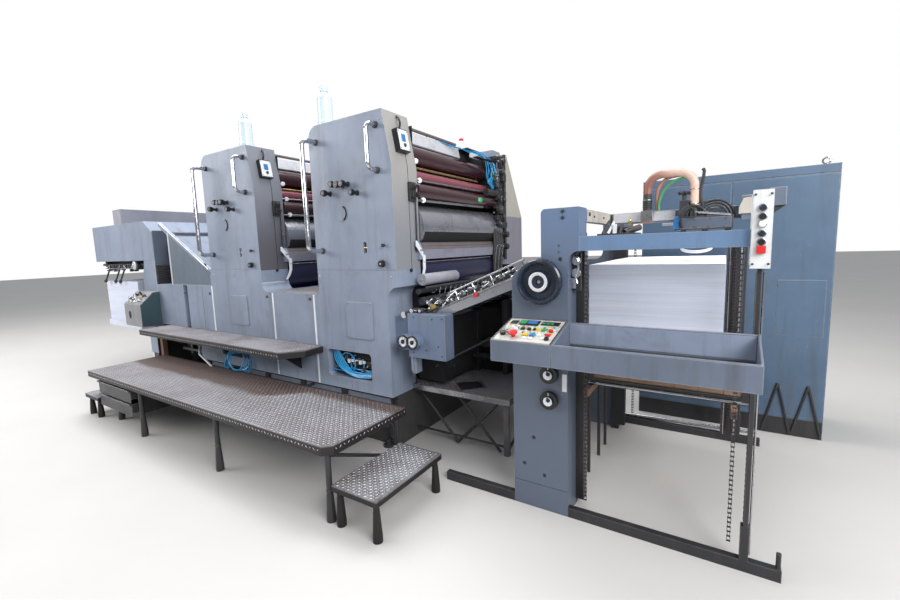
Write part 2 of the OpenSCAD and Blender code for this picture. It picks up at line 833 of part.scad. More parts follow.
// Feeder
shoulder_r = 55;
head_x = 142;
head_r = 20;
throat_r = 52;
module column_profile() {
    difference() {
        union() {
            square([column_w, shoulder_z - shoulder_r]);
            translate([shoulder_r, 0]) square([column_w - shoulder_r, shoulder_z]);
            translate([shoulder_r, shoulder_z - shoulder_r]) circle(r = shoulder_r);
            translate([head_x, 0]) square([column_w - head_x, feeder_h - head_r]);
            translate([head_x + head_r, 0])
                square([column_w - head_x - head_r + beam_reach, feeder_h]);
            translate([head_x + head_r, feeder_h - head_r]) circle(r = head_r);
            translate([head_x - throat_r, shoulder_z]) square(throat_r);
        }
        translate([head_x - throat_r, shoulder_z + throat_r]) circle(r = throat_r);
        translate([column_w, -1]) square([200, beam_z - beam_reach + 1]);
        translate([column_w + beam_reach, beam_z - beam_reach]) circle(r = beam_reach);
    }
}
// Operator column with the bores of its handwheel and dials, bolt holes and a plinth seam
column_holes = [[100, 348], [151, 172], [228, 1180], [52, 210]];
hole_r = 9;
hole_depth = 8;
plinth_z = 118;
plinth_gap = 3;
module feeder_column() {
    color("slategray") place()
        difference() {
            plate_xz(feeder_y0, feeder_y0 + column_d) column_profile();
            rod_y(wheel_x, feeder_y0 - 1, feeder_y0 + shaft_in, wheel_z, shaft_r + shaft_fit);
            for (z = dial_zs)
                rod_y(dial_x, feeder_y0 - 1, feeder_y0 + dial_in, z, dial_shaft_r + shaft_fit);
            for (h = column_holes) rod_y(h[0], feeder_y0 - 1, feeder_y0 + hole_depth, h[1], hole_r);
            box(-1, column_w + 1, feeder_y0 - 1, feeder_y0 + plinth_gap, plinth_z,
                plinth_z + plinth_gap);
        }
}
module feeder_beam() {
    color("slategray") place()
        box(beam_x0, beam_x1, feeder_y0, feeder_y0 + beam_d, beam_z, beam_z + beam_h);
}
// Drive-side column and beam, the cross plate, and the bar that carries the suction head
cross_z0 = 1336;
cross_z1 = 1390;
cross_t = 25;
bar_y0 = 470;
bar_y1 = 520;
bar_x1 = 880;
far_beam_x1 = 935;
module feeder_drive_side() {
    color("slategray") place() {
        plate_xz(feeder_y1 - column_d, feeder_y1) column_profile();
        box(beam_x0, far_beam_x1, feeder_y1 - beam_d, feeder_y1, beam_z, beam_z + beam_h);
        box(beam_x0 - cross_t, beam_x0, feeder_y0 + column_d, feeder_y1 - column_d, cross_z0, cross_z1);
        box(beam_x0, bar_x1, bar_y0, bar_y1, cross_z0, cross_z1);
        box(bar_x1, bar_x1 + 100, bar_y0 - 60, bar_y1, cross_z0 - 10, cross_z1 + 40);
    }
}
// Slender corner posts on floor rails, and the dark guide posts behind the columns
rail_z = 45;
post_w = 15;
post_d = 20;
shoe_w = 28;
shoe_h = 180;
rail_x1 = 1040;
rail_t = 30;
guide_l = 48;
guide_w = 38;
guide_t = 38;
hook_r = 8;
module feeder_posts() {
    color("dimgray") place() {
        for (y = [feeder_y0, feeder_y1 - rail_t]) {
            top = y < 0 ? button_z0 : beam_z;
            box(far_beam_x1 - post_w, far_beam_x1, y, y + post_d, 0, top);
            box(far_beam_x1 - shoe_w + 4, far_beam_x1 + 4, y, y + rail_t, 0, shoe_h);
            box(column_w, rail_x1, y, y + rail_t, 0, rail_z);
        }
        box(-400, 0, feeder_y0, feeder_y0 + rail_t, 0, rail_z);
        rod_z(rail_x1 - 10, feeder_y0 + rail_t / 2, rail_z, rail_z + 60, hook_r);
        for (y = [feeder_y0 + column_d, feeder_y1 - column_d - guide_t])
            box(column_w - guide_l, column_w, y, y + guide_t, 0, feeder_h - 60);
        for (y = [feeder_y0 + column_d, feeder_y1 - column_d - guide_t])
            box(column_w, column_w + guide_w, y, y + guide_t, 30, cross_z0 - beam_reach);
    }
}
// Handwheel with a deep rim, a thin web and a hub; its shaft turns in the column
wheel_x = 144;
wheel_z = shoulder_z - 54;
shaft_r = 16;
shaft_in = 40;
wheel_gap = 12;
rim_w = 18;
web_t = 12;
hub_r = 45;
hub_hole_r = 12;
module handwheel() {
    y1 = feeder_y0 - wheel_gap;
    color("black") place() {
        translate([wheel_x, y1, wheel_z]) rotate([90, 0, 0]) rotate_extrude()
            polygon([
                [0, 0], [handwheel_r - 6, 0], [handwheel_r, 6], [handwheel_r, handwheel_t - 6],
                [handwheel_r - 6, handwheel_t], [handwheel_r - rim_w, handwheel_t],
                [handwheel_r - rim_w - 8, web_t], [hub_r + 6, web_t], [hub_r, handwheel_t],
                [hub_hole_r, handwheel_t], [hub_hole_r, web_t], [0, web_t]
            ]);
        rod_y(wheel_x, y1, feeder_y0 + shaft_in - 2, wheel_z, shaft_r);
    }
}
// Knurled dials on shafts in the column
dial_x = 181;
dial_zs = [667, 547];
dial_r = 40;
dial_t = 22;
dial_gap = 6;
dial_shaft_r = 8;
dial_in = 30;
module dial(z) {
    y1 = feeder_y0 - dial_gap;
    color("black") place() {
        rod_y(dial_x, y1 - dial_t, y1, z, dial_r);
        rod_y(dial_x, y1 - dial_t - 8, y1 - dial_t, z, dial_r * 0.55);
        rod_y(dial_x, y1, feeder_y0 + dial_in - 2, z, dial_shaft_r);
    }
}
// Sloping control panel and open tool tray along the feeder's operator side
tray_y0 = -340;
tray_wall = 8;
module tray_profile() {
    polygon([[feeder_y0, 800], [tray_y0, 760], [tray_y0, 850], [feeder_y0, 908]]);
}
module control_panel() {
    color("slategray") place() plate_yz(-3, column_w - 1) tray_profile();
}
module tool_tray() {
    y0 = tray_y0 + tray_wall;
    y1 = feeder_y0 - tray_wall;
    color("slategray") place() difference() {
        plate_yz(column_w, tray_x1) tray_profile();
        plate_yz(column_w + tray_wall, tray_x1 - tray_wall)
            polygon([[y1, 808], [y0, 770], [y0, 960], [y1, 960]]);
    }
}
// Button box at the beam's end: face plate on its case, with a collar for each button
box_w = 58;
button_z0 = 1139;
button_z1 = 1403;
plate_t = 12;
button_zs = [1202, 1229, 1257, 1289, 1314, 1343];
module button_box() {
    y = feeder_y0 - 20;
    color("white") place() {
        box(beam_x1, beam_x1 + box_w, y, y + plate_t, button_z0, button_z1);
        box(beam_x1, beam_x1 + box_w - 6, y + plate_t, feeder_y0 + beam_d, button_z0 + 11,
            button_z1 - 11);
        for (z = button_zs) rod_y(beam_x1 + box_w / 2, y - 5, y, z, 13);
    }
}
// Suction head: block and slide on the bar, clamp screw with star knob, lever, suckers and
// its black air hoses
head_x0 = 614;
head_x1 = 850;
head_y0 = 400;
head_y = 435;
head_z0 = 1290;
head_z1 = 1352;
slide_x = [632, 670];
slide_z = 1430;
clamp_x = 650;
clamp_r = 9;
clamp_h = 46;
star_r = 21;
star_h = 14;
lever_y = 464;
lever_z = slide_z - 10;
lever_x = [670, 748, 784];
socket_r = 24;
socket_h = 48;
sucker_xs = [650, 740, 830];
sucker_r = 12;
sucker_h = 80;
air_hose_r = 5;
air_hose_z = head_z1 - 7;
module hose_arch(x, y, r) {
    translate([x, y, air_hose_z]) rotate([90, 0, 0])
        rotate_extrude(angle = 180) translate([r, 0]) circle(r = air_hose_r);
}
module suction_head() {
    color("dimgray") place() {
        box(head_x0, head_x1, head_y0, bar_y0, head_z0, head_z1);
        box(slide_x[0], slide_x[1], head_y0 + 10, bar_y0, head_z1, slide_z);
        rod_z(clamp_x, head_y, slide_z, slide_z + clamp_h, clamp_r);
        rod_z(clamp_x, head_y, slide_z + clamp_h - 4 - star_h, slide_z + clamp_h - 4, star_r);
        rod_x(lever_x[0], lever_x[1], lever_y, lever_z, 6);
        rod_x(lever_x[1], lever_x[2], lever_y, lever_z, 10);
        rod_z(arch_x1, head_y, head_z1, head_z1 + socket_h, socket_r);
        for (x = sucker_xs) rod_z(x, head_y, head_z0 - sucker_h, head_z0, sucker_r);
        for (k = [0 : 2]) hose_arch(776, 412 + 13 * k, 52 + 13 * k);
        hose_arch(688, 410, 58);
    }
}
// Brown suction hose, which arches over the head from the clip on the bar to the head's socket
brown_r = 19;
arch_r = 68;
arch_x0 = 489;
arch_x1 = 692;
arch_z = 1497;
clip_w = 26;
clip_z1 = cross_z1 + 3;
module hose_bend(x, turn) {
    translate([x, head_y, arch_z]) rotate([90, 0, 0]) rotate([0, 0, turn])
        rotate_extrude(angle = 90) translate([arch_r, 0]) circle(r = brown_r);
}
module suction_hoses() {
    color("rosybrown") place() {
        rod_z(arch_x0, head_y, clip_z1, arch_z, brown_r);
        rod_z(arch_x1, head_y, head_z1 + socket_h + seat_gap, arch_z, brown_r);
        rod_x(arch_x0 + arch_r, arch_x1 - arch_r, head_y, arch_z + arch_r, brown_r);
        hose_bend(arch_x1 - arch_r, 0);
        hose_bend(arch_x0 + arch_r, 90);
        box(arch_x0 - clip_w, arch_x0 + clip_w, head_y - clip_w, bar_y0 - seat_gap, cross_z0,
            clip_z1);
    }
}
// Lifting chains of the pile, one fixed loop each
chain_xs = [column_w + 60, beam_x1 - 28];
chain_w = 14;
chain_in = 40;
chain_half = 6;
chain_z0 = 80;
module pile_chains() {
    color("dimgray") place()
        for (x = chain_xs, y = [feeder_y0 + chain_in, feeder_y1 - chain_in])
            box(x, x + chain_w, y - chain_half, y + chain_half, chain_z0, beam_z);
}
// Board of the pile on its two cross bars, which hang on the chains
bar_margin = 3;
cross_bar_h = 30;
table_y0 = stack_y0 - 25;
table_y1 = stack_y1 + 15;
module pile_table() {
    z = table_top_z - table_t;
    color("burlywood") place() {
        box(table_x0, table_x1, table_y0, table_y1, z, table_top_z);
        for (x = chain_xs)
            box(x - bar_margin, x + chain_w + bar_margin,
                feeder_y0 + chain_in + chain_half + seat_gap,
                feeder_y1 - chain_in - chain_half - seat_gap, z - cross_bar_h, z);
    }
}
module paper_stack() {
    color("white") place()
        box(stack_x0, stack_x0 + stack_l, stack_y0, stack_y1, table_top_z, stack_top_z);
}
// Control cabinet behind the feeder, with the seams of its doors
door_z0 = 120;
door_z1 = cabinet_h - 50;
door_gap = 4;
module control_cabinet() {
    color("cadetblue") place() difference() {
        box(cabinet_x0, cabinet_x0 + cabinet_l, cabinet_y0, cabinet_y1, 0, cabinet_h);
        box(cabinet_x0 - 1, cabinet_x0 + cabinet_l + 1, cabinet_y0 - 1, cabinet_y0 + door_gap,
            door_z1, door_z1 + door_gap);
        box(cabinet_x0 + cabinet_l / 2, cabinet_x0 + cabinet_l / 2 + door_gap, cabinet_y0 - 1,
            cabinet_y0 + door_gap, door_z0, door_z1);
    }
}

base_frame();
unit_frame(unit_1_x, overhang);  // unit_1_frame
unit_frame(unit_2_x, 0);  // unit_2_frame
unit_covers(unit_1_x, 0, overhang);  // unit_1_covers
unit_covers(unit_2_x, skirt_l, 0);  // unit_2_covers
drive_cover(unit_1_x);  // unit_1_drive_cover
drive_cover(unit_2_x);  // unit_2_drive_cover
plate_cylinder(unit_1_x);  // unit_1_plate_cylinder
plate_cylinder(unit_2_x);  // unit_2_plate_cylinder
blanket_cylinder(unit_1_x);  // unit_1_blanket_cylinder
blanket_cylinder(unit_2_x);  // unit_2_blanket_cylinder
ink_roller(unit_1_x, ink_a_at, ink_a_r, "maroon");  // unit_1_ink_roller_a
ink_roller(unit_1_x, ink_b_at, ink_b_r, "palevioletred");  // unit_1_ink_roller_b
ink_roller(unit_1_x, ink_c_at, ink_c_r, "maroon");  // unit_1_ink_roller_c
ink_roller(unit_2_x, ink_a_at, ink_a_r, "maroon");  // unit_2_ink_roller_a
ink_roller(unit_2_x, ink_b_at, ink_b_r, "palevioletred");  // unit_2_ink_roller_b
ink_roller(unit_2_x, ink_c_at, ink_c_r, "maroon");  // unit_2_ink_roller_c
handrails();
unit_controls();
solution_bottles();
walkway();
service_hoses();
delivery_housing();
delivery_hood();
delivery_side_panels();
delivery_duct();
delivery_console();
delivery_levers();
delivery_pile();
running_board();
platform_deck();
platform_legs();
drawer_cabinet();
drawer(1);  // upper_drawer
drawer(0);  // lower_drawer
small_step();
end_step();
infeed_side_box();
feed_board();
infeed_deck();
feeder_column();
feeder_beam();
feeder_drive_side();
feeder_posts();
handwheel();
dial(dial_zs[0]);  // upper_dial
dial(dial_zs[1]);  // lower_dial
control_panel();
tool_tray();
button_box();
suction_head();
suction_hoses();
pile_chains();
pile_table();
paper_stack();
control_cabinet();
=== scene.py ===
"""Looks of the two-unit offset printing press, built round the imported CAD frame."""

import json
import math
import random

import bmesh
import bpy
from mathutils import Matrix, Vector


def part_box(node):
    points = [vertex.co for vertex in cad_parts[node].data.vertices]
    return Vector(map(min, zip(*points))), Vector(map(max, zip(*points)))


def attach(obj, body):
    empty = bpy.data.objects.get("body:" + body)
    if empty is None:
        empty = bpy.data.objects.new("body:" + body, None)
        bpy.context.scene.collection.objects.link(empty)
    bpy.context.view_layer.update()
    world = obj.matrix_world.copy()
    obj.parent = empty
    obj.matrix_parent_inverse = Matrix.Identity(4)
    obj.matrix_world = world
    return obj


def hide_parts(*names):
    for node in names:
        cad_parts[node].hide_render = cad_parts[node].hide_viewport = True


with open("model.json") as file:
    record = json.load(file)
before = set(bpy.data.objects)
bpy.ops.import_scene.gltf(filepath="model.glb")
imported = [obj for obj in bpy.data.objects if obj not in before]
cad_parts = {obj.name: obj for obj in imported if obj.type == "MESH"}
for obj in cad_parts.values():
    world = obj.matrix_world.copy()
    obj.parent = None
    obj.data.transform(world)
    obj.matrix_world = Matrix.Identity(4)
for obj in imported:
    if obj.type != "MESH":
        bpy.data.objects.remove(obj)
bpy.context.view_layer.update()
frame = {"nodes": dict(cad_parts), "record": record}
NODES = frame["nodes"]
rng = random.Random(11)

# Drawing frame in millimetres: x = 0 at the feeder column's left face, y = 0 at the
# units' operator face, z = 0 at the floor
FEEDER_OUT = 119.0
FEEDER_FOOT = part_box("feeder_column")[0]
ZERO = Vector((FEEDER_FOOT.x, FEEDER_FOOT.y + FEEDER_OUT / 1000.0, 0.0))


def to_row(x, y, z):
    """A point of the drawing frame in the row frame, in metres."""
    return Vector((x, y, z)) / 1000.0 + ZERO


def cad(node):
    """The box of a CAD node in the drawing frame: x0, x1, y0, y1, z0, z1."""
    low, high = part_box(node)
    low = (low - ZERO) * 1000.0
    high = (high - ZERO) * 1000.0
    return low.x, high.x, low.y, high.y, low.z, high.z


# Materials

def new_material(name):
    mat = bpy.data.materials.new(name)
    mat.use_nodes = True
    tree = mat.node_tree
    tree.nodes.clear()
    out = tree.nodes.new("ShaderNodeOutputMaterial")
    shader = tree.nodes.new("ShaderNodeBsdfPrincipled")
    tree.links.new(shader.outputs[0], out.inputs[0])
    return mat, tree, shader


def coords(tree, scale=(1, 1, 1)):
    tex = tree.nodes.new("ShaderNodeTexCoord")
    mapping = tree.nodes.new("ShaderNodeMapping")
    mapping.inputs["Scale"].default_value = scale
    tree.links.new(tex.outputs["Object"], mapping.inputs["Vector"])
    return mapping.outputs["Vector"]


def noise(tree, vector, scale, detail=4.0, rough=0.6, distort=0.0):
    node = tree.nodes.new("ShaderNodeTexNoise")
    node.inputs["Scale"].default_value = scale
    node.inputs["Detail"].default_value = detail
    node.inputs["Roughness"].default_value = rough
    node.inputs["Distortion"].default_value = distort
    tree.links.new(vector, node.inputs["Vector"])
    return node.outputs["Fac"]


def ramp(tree, fac, low, high, smooth=False):
    """0 below low, 1 above high."""
    node = tree.nodes.new("ShaderNodeMapRange")
    node.interpolation_type = "SMOOTHSTEP" if smooth else "LINEAR"
    node.inputs["From Min"].default_value = low
    node.inputs["From Max"].default_value = high
    tree.links.new(fac, node.inputs["Value"])
    return node.outputs["Result"]


def maths(tree, kind, a, b):
    node = tree.nodes.new("ShaderNodeMath")
    node.operation = kind
    node.use_clamp = True
    for i, value in enumerate((a, b)):
        if isinstance(value, (int, float)):
            node.inputs[i].default_value = value
        else:
            tree.links.new(value, node.inputs[i])
    return node.outputs[0]


def mix(tree, fac, a, b):
    """Colour mix; a and b are colours or sockets."""
    node = tree.nodes.new("ShaderNodeMix")
    node.data_type = "RGBA"
    tree.links.new(fac, node.inputs[0])
    for i, value in ((6, a), (7, b)):
        if isinstance(value, (tuple, list)):
            node.inputs[i].default_value = (*value[:3], 1.0)
        else:
            tree.links.new(value, node.inputs[i])
    return node.outputs[2]


def above(tree, level):
    """0 below a height over the floor in metres, 1 above it."""
    geometry = tree.nodes.new("ShaderNodeNewGeometry")
    parts = tree.nodes.new("ShaderNodeSeparateXYZ")
    tree.links.new(geometry.outputs["Position"], parts.inputs[0])
    return ramp(tree, parts.outputs["Z"], level - 0.003, level + 0.003)


def bumped(tree, shader, height, strength, distance, edge=0.0):
    """Bump from height, over rounded edges where edge is a radius in metres."""
    bump = tree.nodes.new("ShaderNodeBump")
    bump.inputs["Strength"].default_value = strength
    bump.inputs["Distance"].default_value = distance
    tree.links.new(height, bump.inputs["Height"])
    if edge > 0:
        bevel = tree.nodes.new("ShaderNodeBevel")
        bevel.samples = 4
        bevel.inputs["Radius"].default_value = edge
        tree.links.new(bevel.outputs[0], bump.inputs["Normal"])
    tree.links.new(bump.outputs[0], shader.inputs["Normal"])


def edge_wear(tree, radius):
    """1 along edges, 0 on flats, from a wide bevel normal."""
    bevel = tree.nodes.new("ShaderNodeBevel")
    bevel.samples = 4
    bevel.inputs["Radius"].default_value = radius
    geometry = tree.nodes.new("ShaderNodeNewGeometry")
    dot = tree.nodes.new("ShaderNodeVectorMath")
    dot.operation = "DOT_PRODUCT"
    tree.links.new(bevel.outputs[0], dot.inputs[0])
    tree.links.new(geometry.outputs["Normal"], dot.inputs[1])
    return ramp(tree, dot.outputs["Value"], 0.995, 0.9)


def paint(name, base, dirt=(0.10, 0.08, 0.07), dirt_amount=0.45, rough=0.42, chip=0.6,
          edge=0.003, metal=(0.42, 0.42, 0.43), level=0.0, low=None):
    """Worn enamel: cloudy colour, smears, runs, rubbed edges; low is the paint below level."""
    mat, tree, shader = new_material(name)
    vector = coords(tree)
    cloud = noise(tree, vector, 1.7, 5.0, 0.6)
    pale = tuple(min(1.0, c * 1.16 + 0.012) for c in base)
    deep = tuple(c * 0.84 for c in base)
    colour = mix(tree, ramp(tree, cloud, 0.3, 0.72), deep, pale)
    if low:
        colour = mix(tree, above(tree, level), low, colour)
    # Runs and smears drawn out downwards
    runs = noise(tree, coords(tree, (9.0, 9.0, 0.9)), 1.6, 6.0, 0.65)
    smear = noise(tree, vector, 5.0, 6.0, 0.7, 0.6)
    grime = maths(tree, "MULTIPLY", ramp(tree, runs, 0.52, 0.74), dirt_amount)
    blotch = maths(tree, "MULTIPLY", ramp(tree, smear, 0.58, 0.78), dirt_amount)
    colour = mix(tree, maths(tree, "MAXIMUM", grime, blotch), colour, dirt)
    # Specks of bare metal, more of them on the edges
    speck = ramp(tree, noise(tree, vector, 60.0, 3.0, 0.7), 0.70, 0.74)
    worn = ramp(tree, maths(tree, "MULTIPLY", edge_wear(tree, edge * 2.2),
                            noise(tree, vector, 28.0, 4.0, 0.7)), 0.30, 0.48)
    bare = maths(tree, "MAXIMUM", maths(tree, "MULTIPLY", speck, chip * 0.5),
                 maths(tree, "MULTIPLY", worn, chip))
    colour = mix(tree, bare, colour, metal)
    tree.links.new(colour, shader.inputs["Base Color"])
    sheen = tree.nodes.new("ShaderNodeMapRange")
    sheen.inputs["To Min"].default_value = rough - 0.12
    sheen.inputs["To Max"].default_value = rough + 0.2
    tree.links.new(smear, sheen.inputs["Value"])
    tree.links.new(sheen.outputs["Result"], shader.inputs["Roughness"])
    tree.links.new(maths(tree, "MULTIPLY", bare, 0.8), shader.inputs["Metallic"])
    bumped(tree, shader, noise(tree, vector, 160.0, 2.0), 0.12, 0.0006, edge)
    return mat


def height_blend_paint(name, high, low, from_z=1.25, to_z=1.85):
    """Enamel blended with height from low at from_z to high at to_z; on the units' right faces,
    painted shade.
    """
    mat, tree, shader = new_material(name)
    geometry = tree.nodes.new("ShaderNodeNewGeometry")
    parts = tree.nodes.new("ShaderNodeSeparateXYZ")
    tree.links.new(geometry.outputs["Position"], parts.inputs[0])
    height = ramp(tree, parts.outputs["Z"], from_z, to_z, True)
    cloud = noise(tree, coords(tree), 3.0, 5.0, 0.6)
    colour = mix(tree, maths(tree, "MULTIPLY", cloud, 0.25), mix(tree, height, low, high),
                 tuple(c * 0.6 for c in low))
    tree.links.new(colour, shader.inputs["Base Color"])
    shader.inputs["Roughness"].default_value = 0.42
    bumped(tree, shader, cloud, 0.1, 0.001)
    return mat


def metal(name, base, rough=0.3, grain=(1, 1, 1), dirt=(0.05, 0.04, 0.035), amount=0.4,
          edge=0.0, metallic=1.0):
    """Bare or plated metal with fine grain and oily dirt."""
    mat, tree, shader = new_material(name)
    vector = coords(tree)
    brush = noise(tree, coords(tree, grain), 90.0, 4.0, 0.7)
    stain = ramp(tree, noise(tree, vector, 6.0, 6.0, 0.7), 0.5, 0.75)
    colour = mix(tree, brush, tuple(c * 0.8 for c in base), tuple(min(1, c * 1.15) for c in base))
    colour = mix(tree, maths(tree, "MULTIPLY", stain, amount), colour, dirt)
    tree.links.new(colour, shader.inputs["Base Color"])
    shader.inputs["Metallic"].default_value = metallic
    spread = tree.nodes.new("ShaderNodeMapRange")
    spread.inputs["To Min"].default_value = max(0.04, rough - 0.1)
    spread.inputs["To Max"].default_value = rough + 0.22
    tree.links.new(stain, spread.inputs["Value"])
    tree.links.new(spread.outputs["Result"], shader.inputs["Roughness"])
    bumped(tree, shader, brush, 0.1, 0.0004, edge)
    return mat


def soft(name, base, rough=0.5, vary=0.15, scale=14.0, dirt=(0.06, 0.05, 0.05), amount=0.25,
         edge=0.0, coat=0.0):
    """Plastic, rubber and other non-metals with mottled colour and dust."""
    mat, tree, shader = new_material(name)
    vector = coords(tree)
    mottle = noise(tree, vector, scale, 5.0, 0.65)
    low = tuple(c * (1 - vary) for c in base)
    high = tuple(min(1, c * (1 + vary) + 0.004) for c in base)
    colour = mix(tree, mottle, low, high)
    stain = ramp(tree, noise(tree, vector, scale * 0.6, 6.0, 0.7), 0.55, 0.8)
    colour = mix(tree, maths(tree, "MULTIPLY", stain, amount), colour, dirt)
    tree.links.new(colour, shader.inputs["Base Color"])
    spread = tree.nodes.new("ShaderNodeMapRange")
    spread.inputs["To Min"].default_value = max(0.05, rough - 0.12)
    spread.inputs["To Max"].default_value = min(1.0, rough + 0.15)
    tree.links.new(mottle, spread.inputs["Value"])
    tree.links.new(spread.outputs["Result"], shader.inputs["Roughness"])
    shader.inputs["Coat Weight"].default_value = coat
    bumped(tree, shader, noise(tree, vector, scale * 12.0, 2.0), 0.15, 0.0005, edge)
    return mat


def tread_plate(name, base, dust, level=0.0, amount=0.75, shine=0.5, back=False):
    """Chequer plate: worn steel, brown dust in patches, black painted shade below level, painted
    shadow at back.
    """
    mat, tree, shader = new_material(name)
    vector = coords(tree)
    worn = noise(tree, vector, 2.2, 6.0, 0.65)
    fine = noise(tree, vector, 70.0, 5.0, 0.7)
    colour = mix(tree, fine, tuple(c * 0.7 for c in base), tuple(min(1, c * 1.3) for c in base))
    brown = ramp(tree, noise(tree, vector, 3.5, 8.0, 0.75), 0.42, 0.66)
    if back:  # painted shadow of the machine in the dust colour, deep by unit 2 and only along the back edge by unit 1
        geometry = tree.nodes.new("ShaderNodeNewGeometry")
        parts = tree.nodes.new("ShaderNodeSeparateXYZ")
        tree.links.new(geometry.outputs["Position"], parts.inputs[0])
        depth = ramp(tree, parts.outputs["Y"], ZERO.y - 0.62, ZERO.y - 0.22)
        right = ramp(tree, parts.outputs["X"], ZERO.x - 1.60, ZERO.x - 1.30, True)
        depth = maths(tree, "SUBTRACT", depth, maths(tree, "MULTIPLY", right, 0.42))
        edge = maths(tree, "MULTIPLY", depth, maths(tree, "ADD", worn, 0.45))
        brown = maths(tree, "MAXIMUM", maths(tree, "MULTIPLY", brown, 0.4),
                      ramp(tree, edge, 0.40, 0.52))
    colour = mix(tree, maths(tree, "MULTIPLY", brown, amount), colour, dust)
    # Painted shade: black below level on the plate's edges
    if level > 0:
        colour = mix(tree, above(tree, level), (0.020, 0.018, 0.019), colour)
    tree.links.new(colour, shader.inputs["Base Color"])
    shader.inputs["Metallic"].default_value = shine
    spread = tree.nodes.new("ShaderNodeMapRange")
    spread.inputs["To Min"].default_value = 0.62
    spread.inputs["To Max"].default_value = 0.36
    tree.links.new(worn, spread.inputs["Value"])
    tree.links.new(spread.outputs["Result"], shader.inputs["Roughness"])
    bumped(tree, shader, fine, 0.2, 0.0006, 0.002)
    return mat


def paper_pile(name):
    """Edges of stacked sheets: fine horizontal lines and slightly grey reams."""
    mat, tree, shader = new_material(name)
    lines = noise(tree, coords(tree, (1.2, 1.2, 260.0)), 1.6, 3.0, 0.7)
    reams = noise(tree, coords(tree, (0.6, 0.6, 13.0)), 1.5, 3.0, 0.6)
    colour = mix(tree, ramp(tree, lines, 0.3, 0.7), (0.48, 0.51, 0.62), (0.66, 0.69, 0.79))
    colour = mix(tree, maths(tree, "MULTIPLY", ramp(tree, reams, 0.45, 0.75), 0.4), colour,
                 (0.40, 0.41, 0.48))
    tree.links.new(colour, shader.inputs["Base Color"])
    shader.inputs["Roughness"].default_value = 0.85
    bumped(tree, shader, lines, 0.5, 0.0015)
    return mat


def faded_hose(name):
    """Suction hose: brown at its left end, faded to pale pink over the arch and down right."""
    mat, tree, shader = new_material(name)
    geometry = tree.nodes.new("ShaderNodeNewGeometry")
    parts = tree.nodes.new("ShaderNodeSeparateXYZ")
    tree.links.new(geometry.outputs["Position"], parts.inputs[0])
    along = ramp(tree, parts.outputs["X"], ZERO.x + 0.49, ZERO.x + 0.66, True)
    colour = mix(tree, along, (0.22, 0.085, 0.06), (0.66, 0.45, 0.37))
    stain = ramp(tree, noise(tree, coords(tree), 16.0, 4.0, 0.6), 0.5, 0.8)
    colour = mix(tree, maths(tree, "MULTIPLY", stain, 0.5), colour, (0.20, 0.12, 0.10))
    tree.links.new(colour, shader.inputs["Base Color"])
    shader.inputs["Roughness"].default_value = 0.42
    return mat


def plank(name, base):
    mat, tree, shader = new_material(name)
    grain = noise(tree, coords(tree, (1.5, 22.0, 22.0)), 3.0, 7.0, 0.7, 0.4)
    colour = mix(tree, grain, tuple(c * 0.45 for c in base), tuple(min(1, c * 1.35) for c in base))
    stain = ramp(tree, noise(tree, coords(tree), 4.0, 5.0), 0.5, 0.72)
    colour = mix(tree, maths(tree, "MULTIPLY", stain, 0.6), colour, (0.06, 0.04, 0.03))
    tree.links.new(colour, shader.inputs["Base Color"])
    shader.inputs["Roughness"].default_value = 0.75
    bumped(tree, shader, grain, 0.4, 0.0012, 0.002)
    return mat


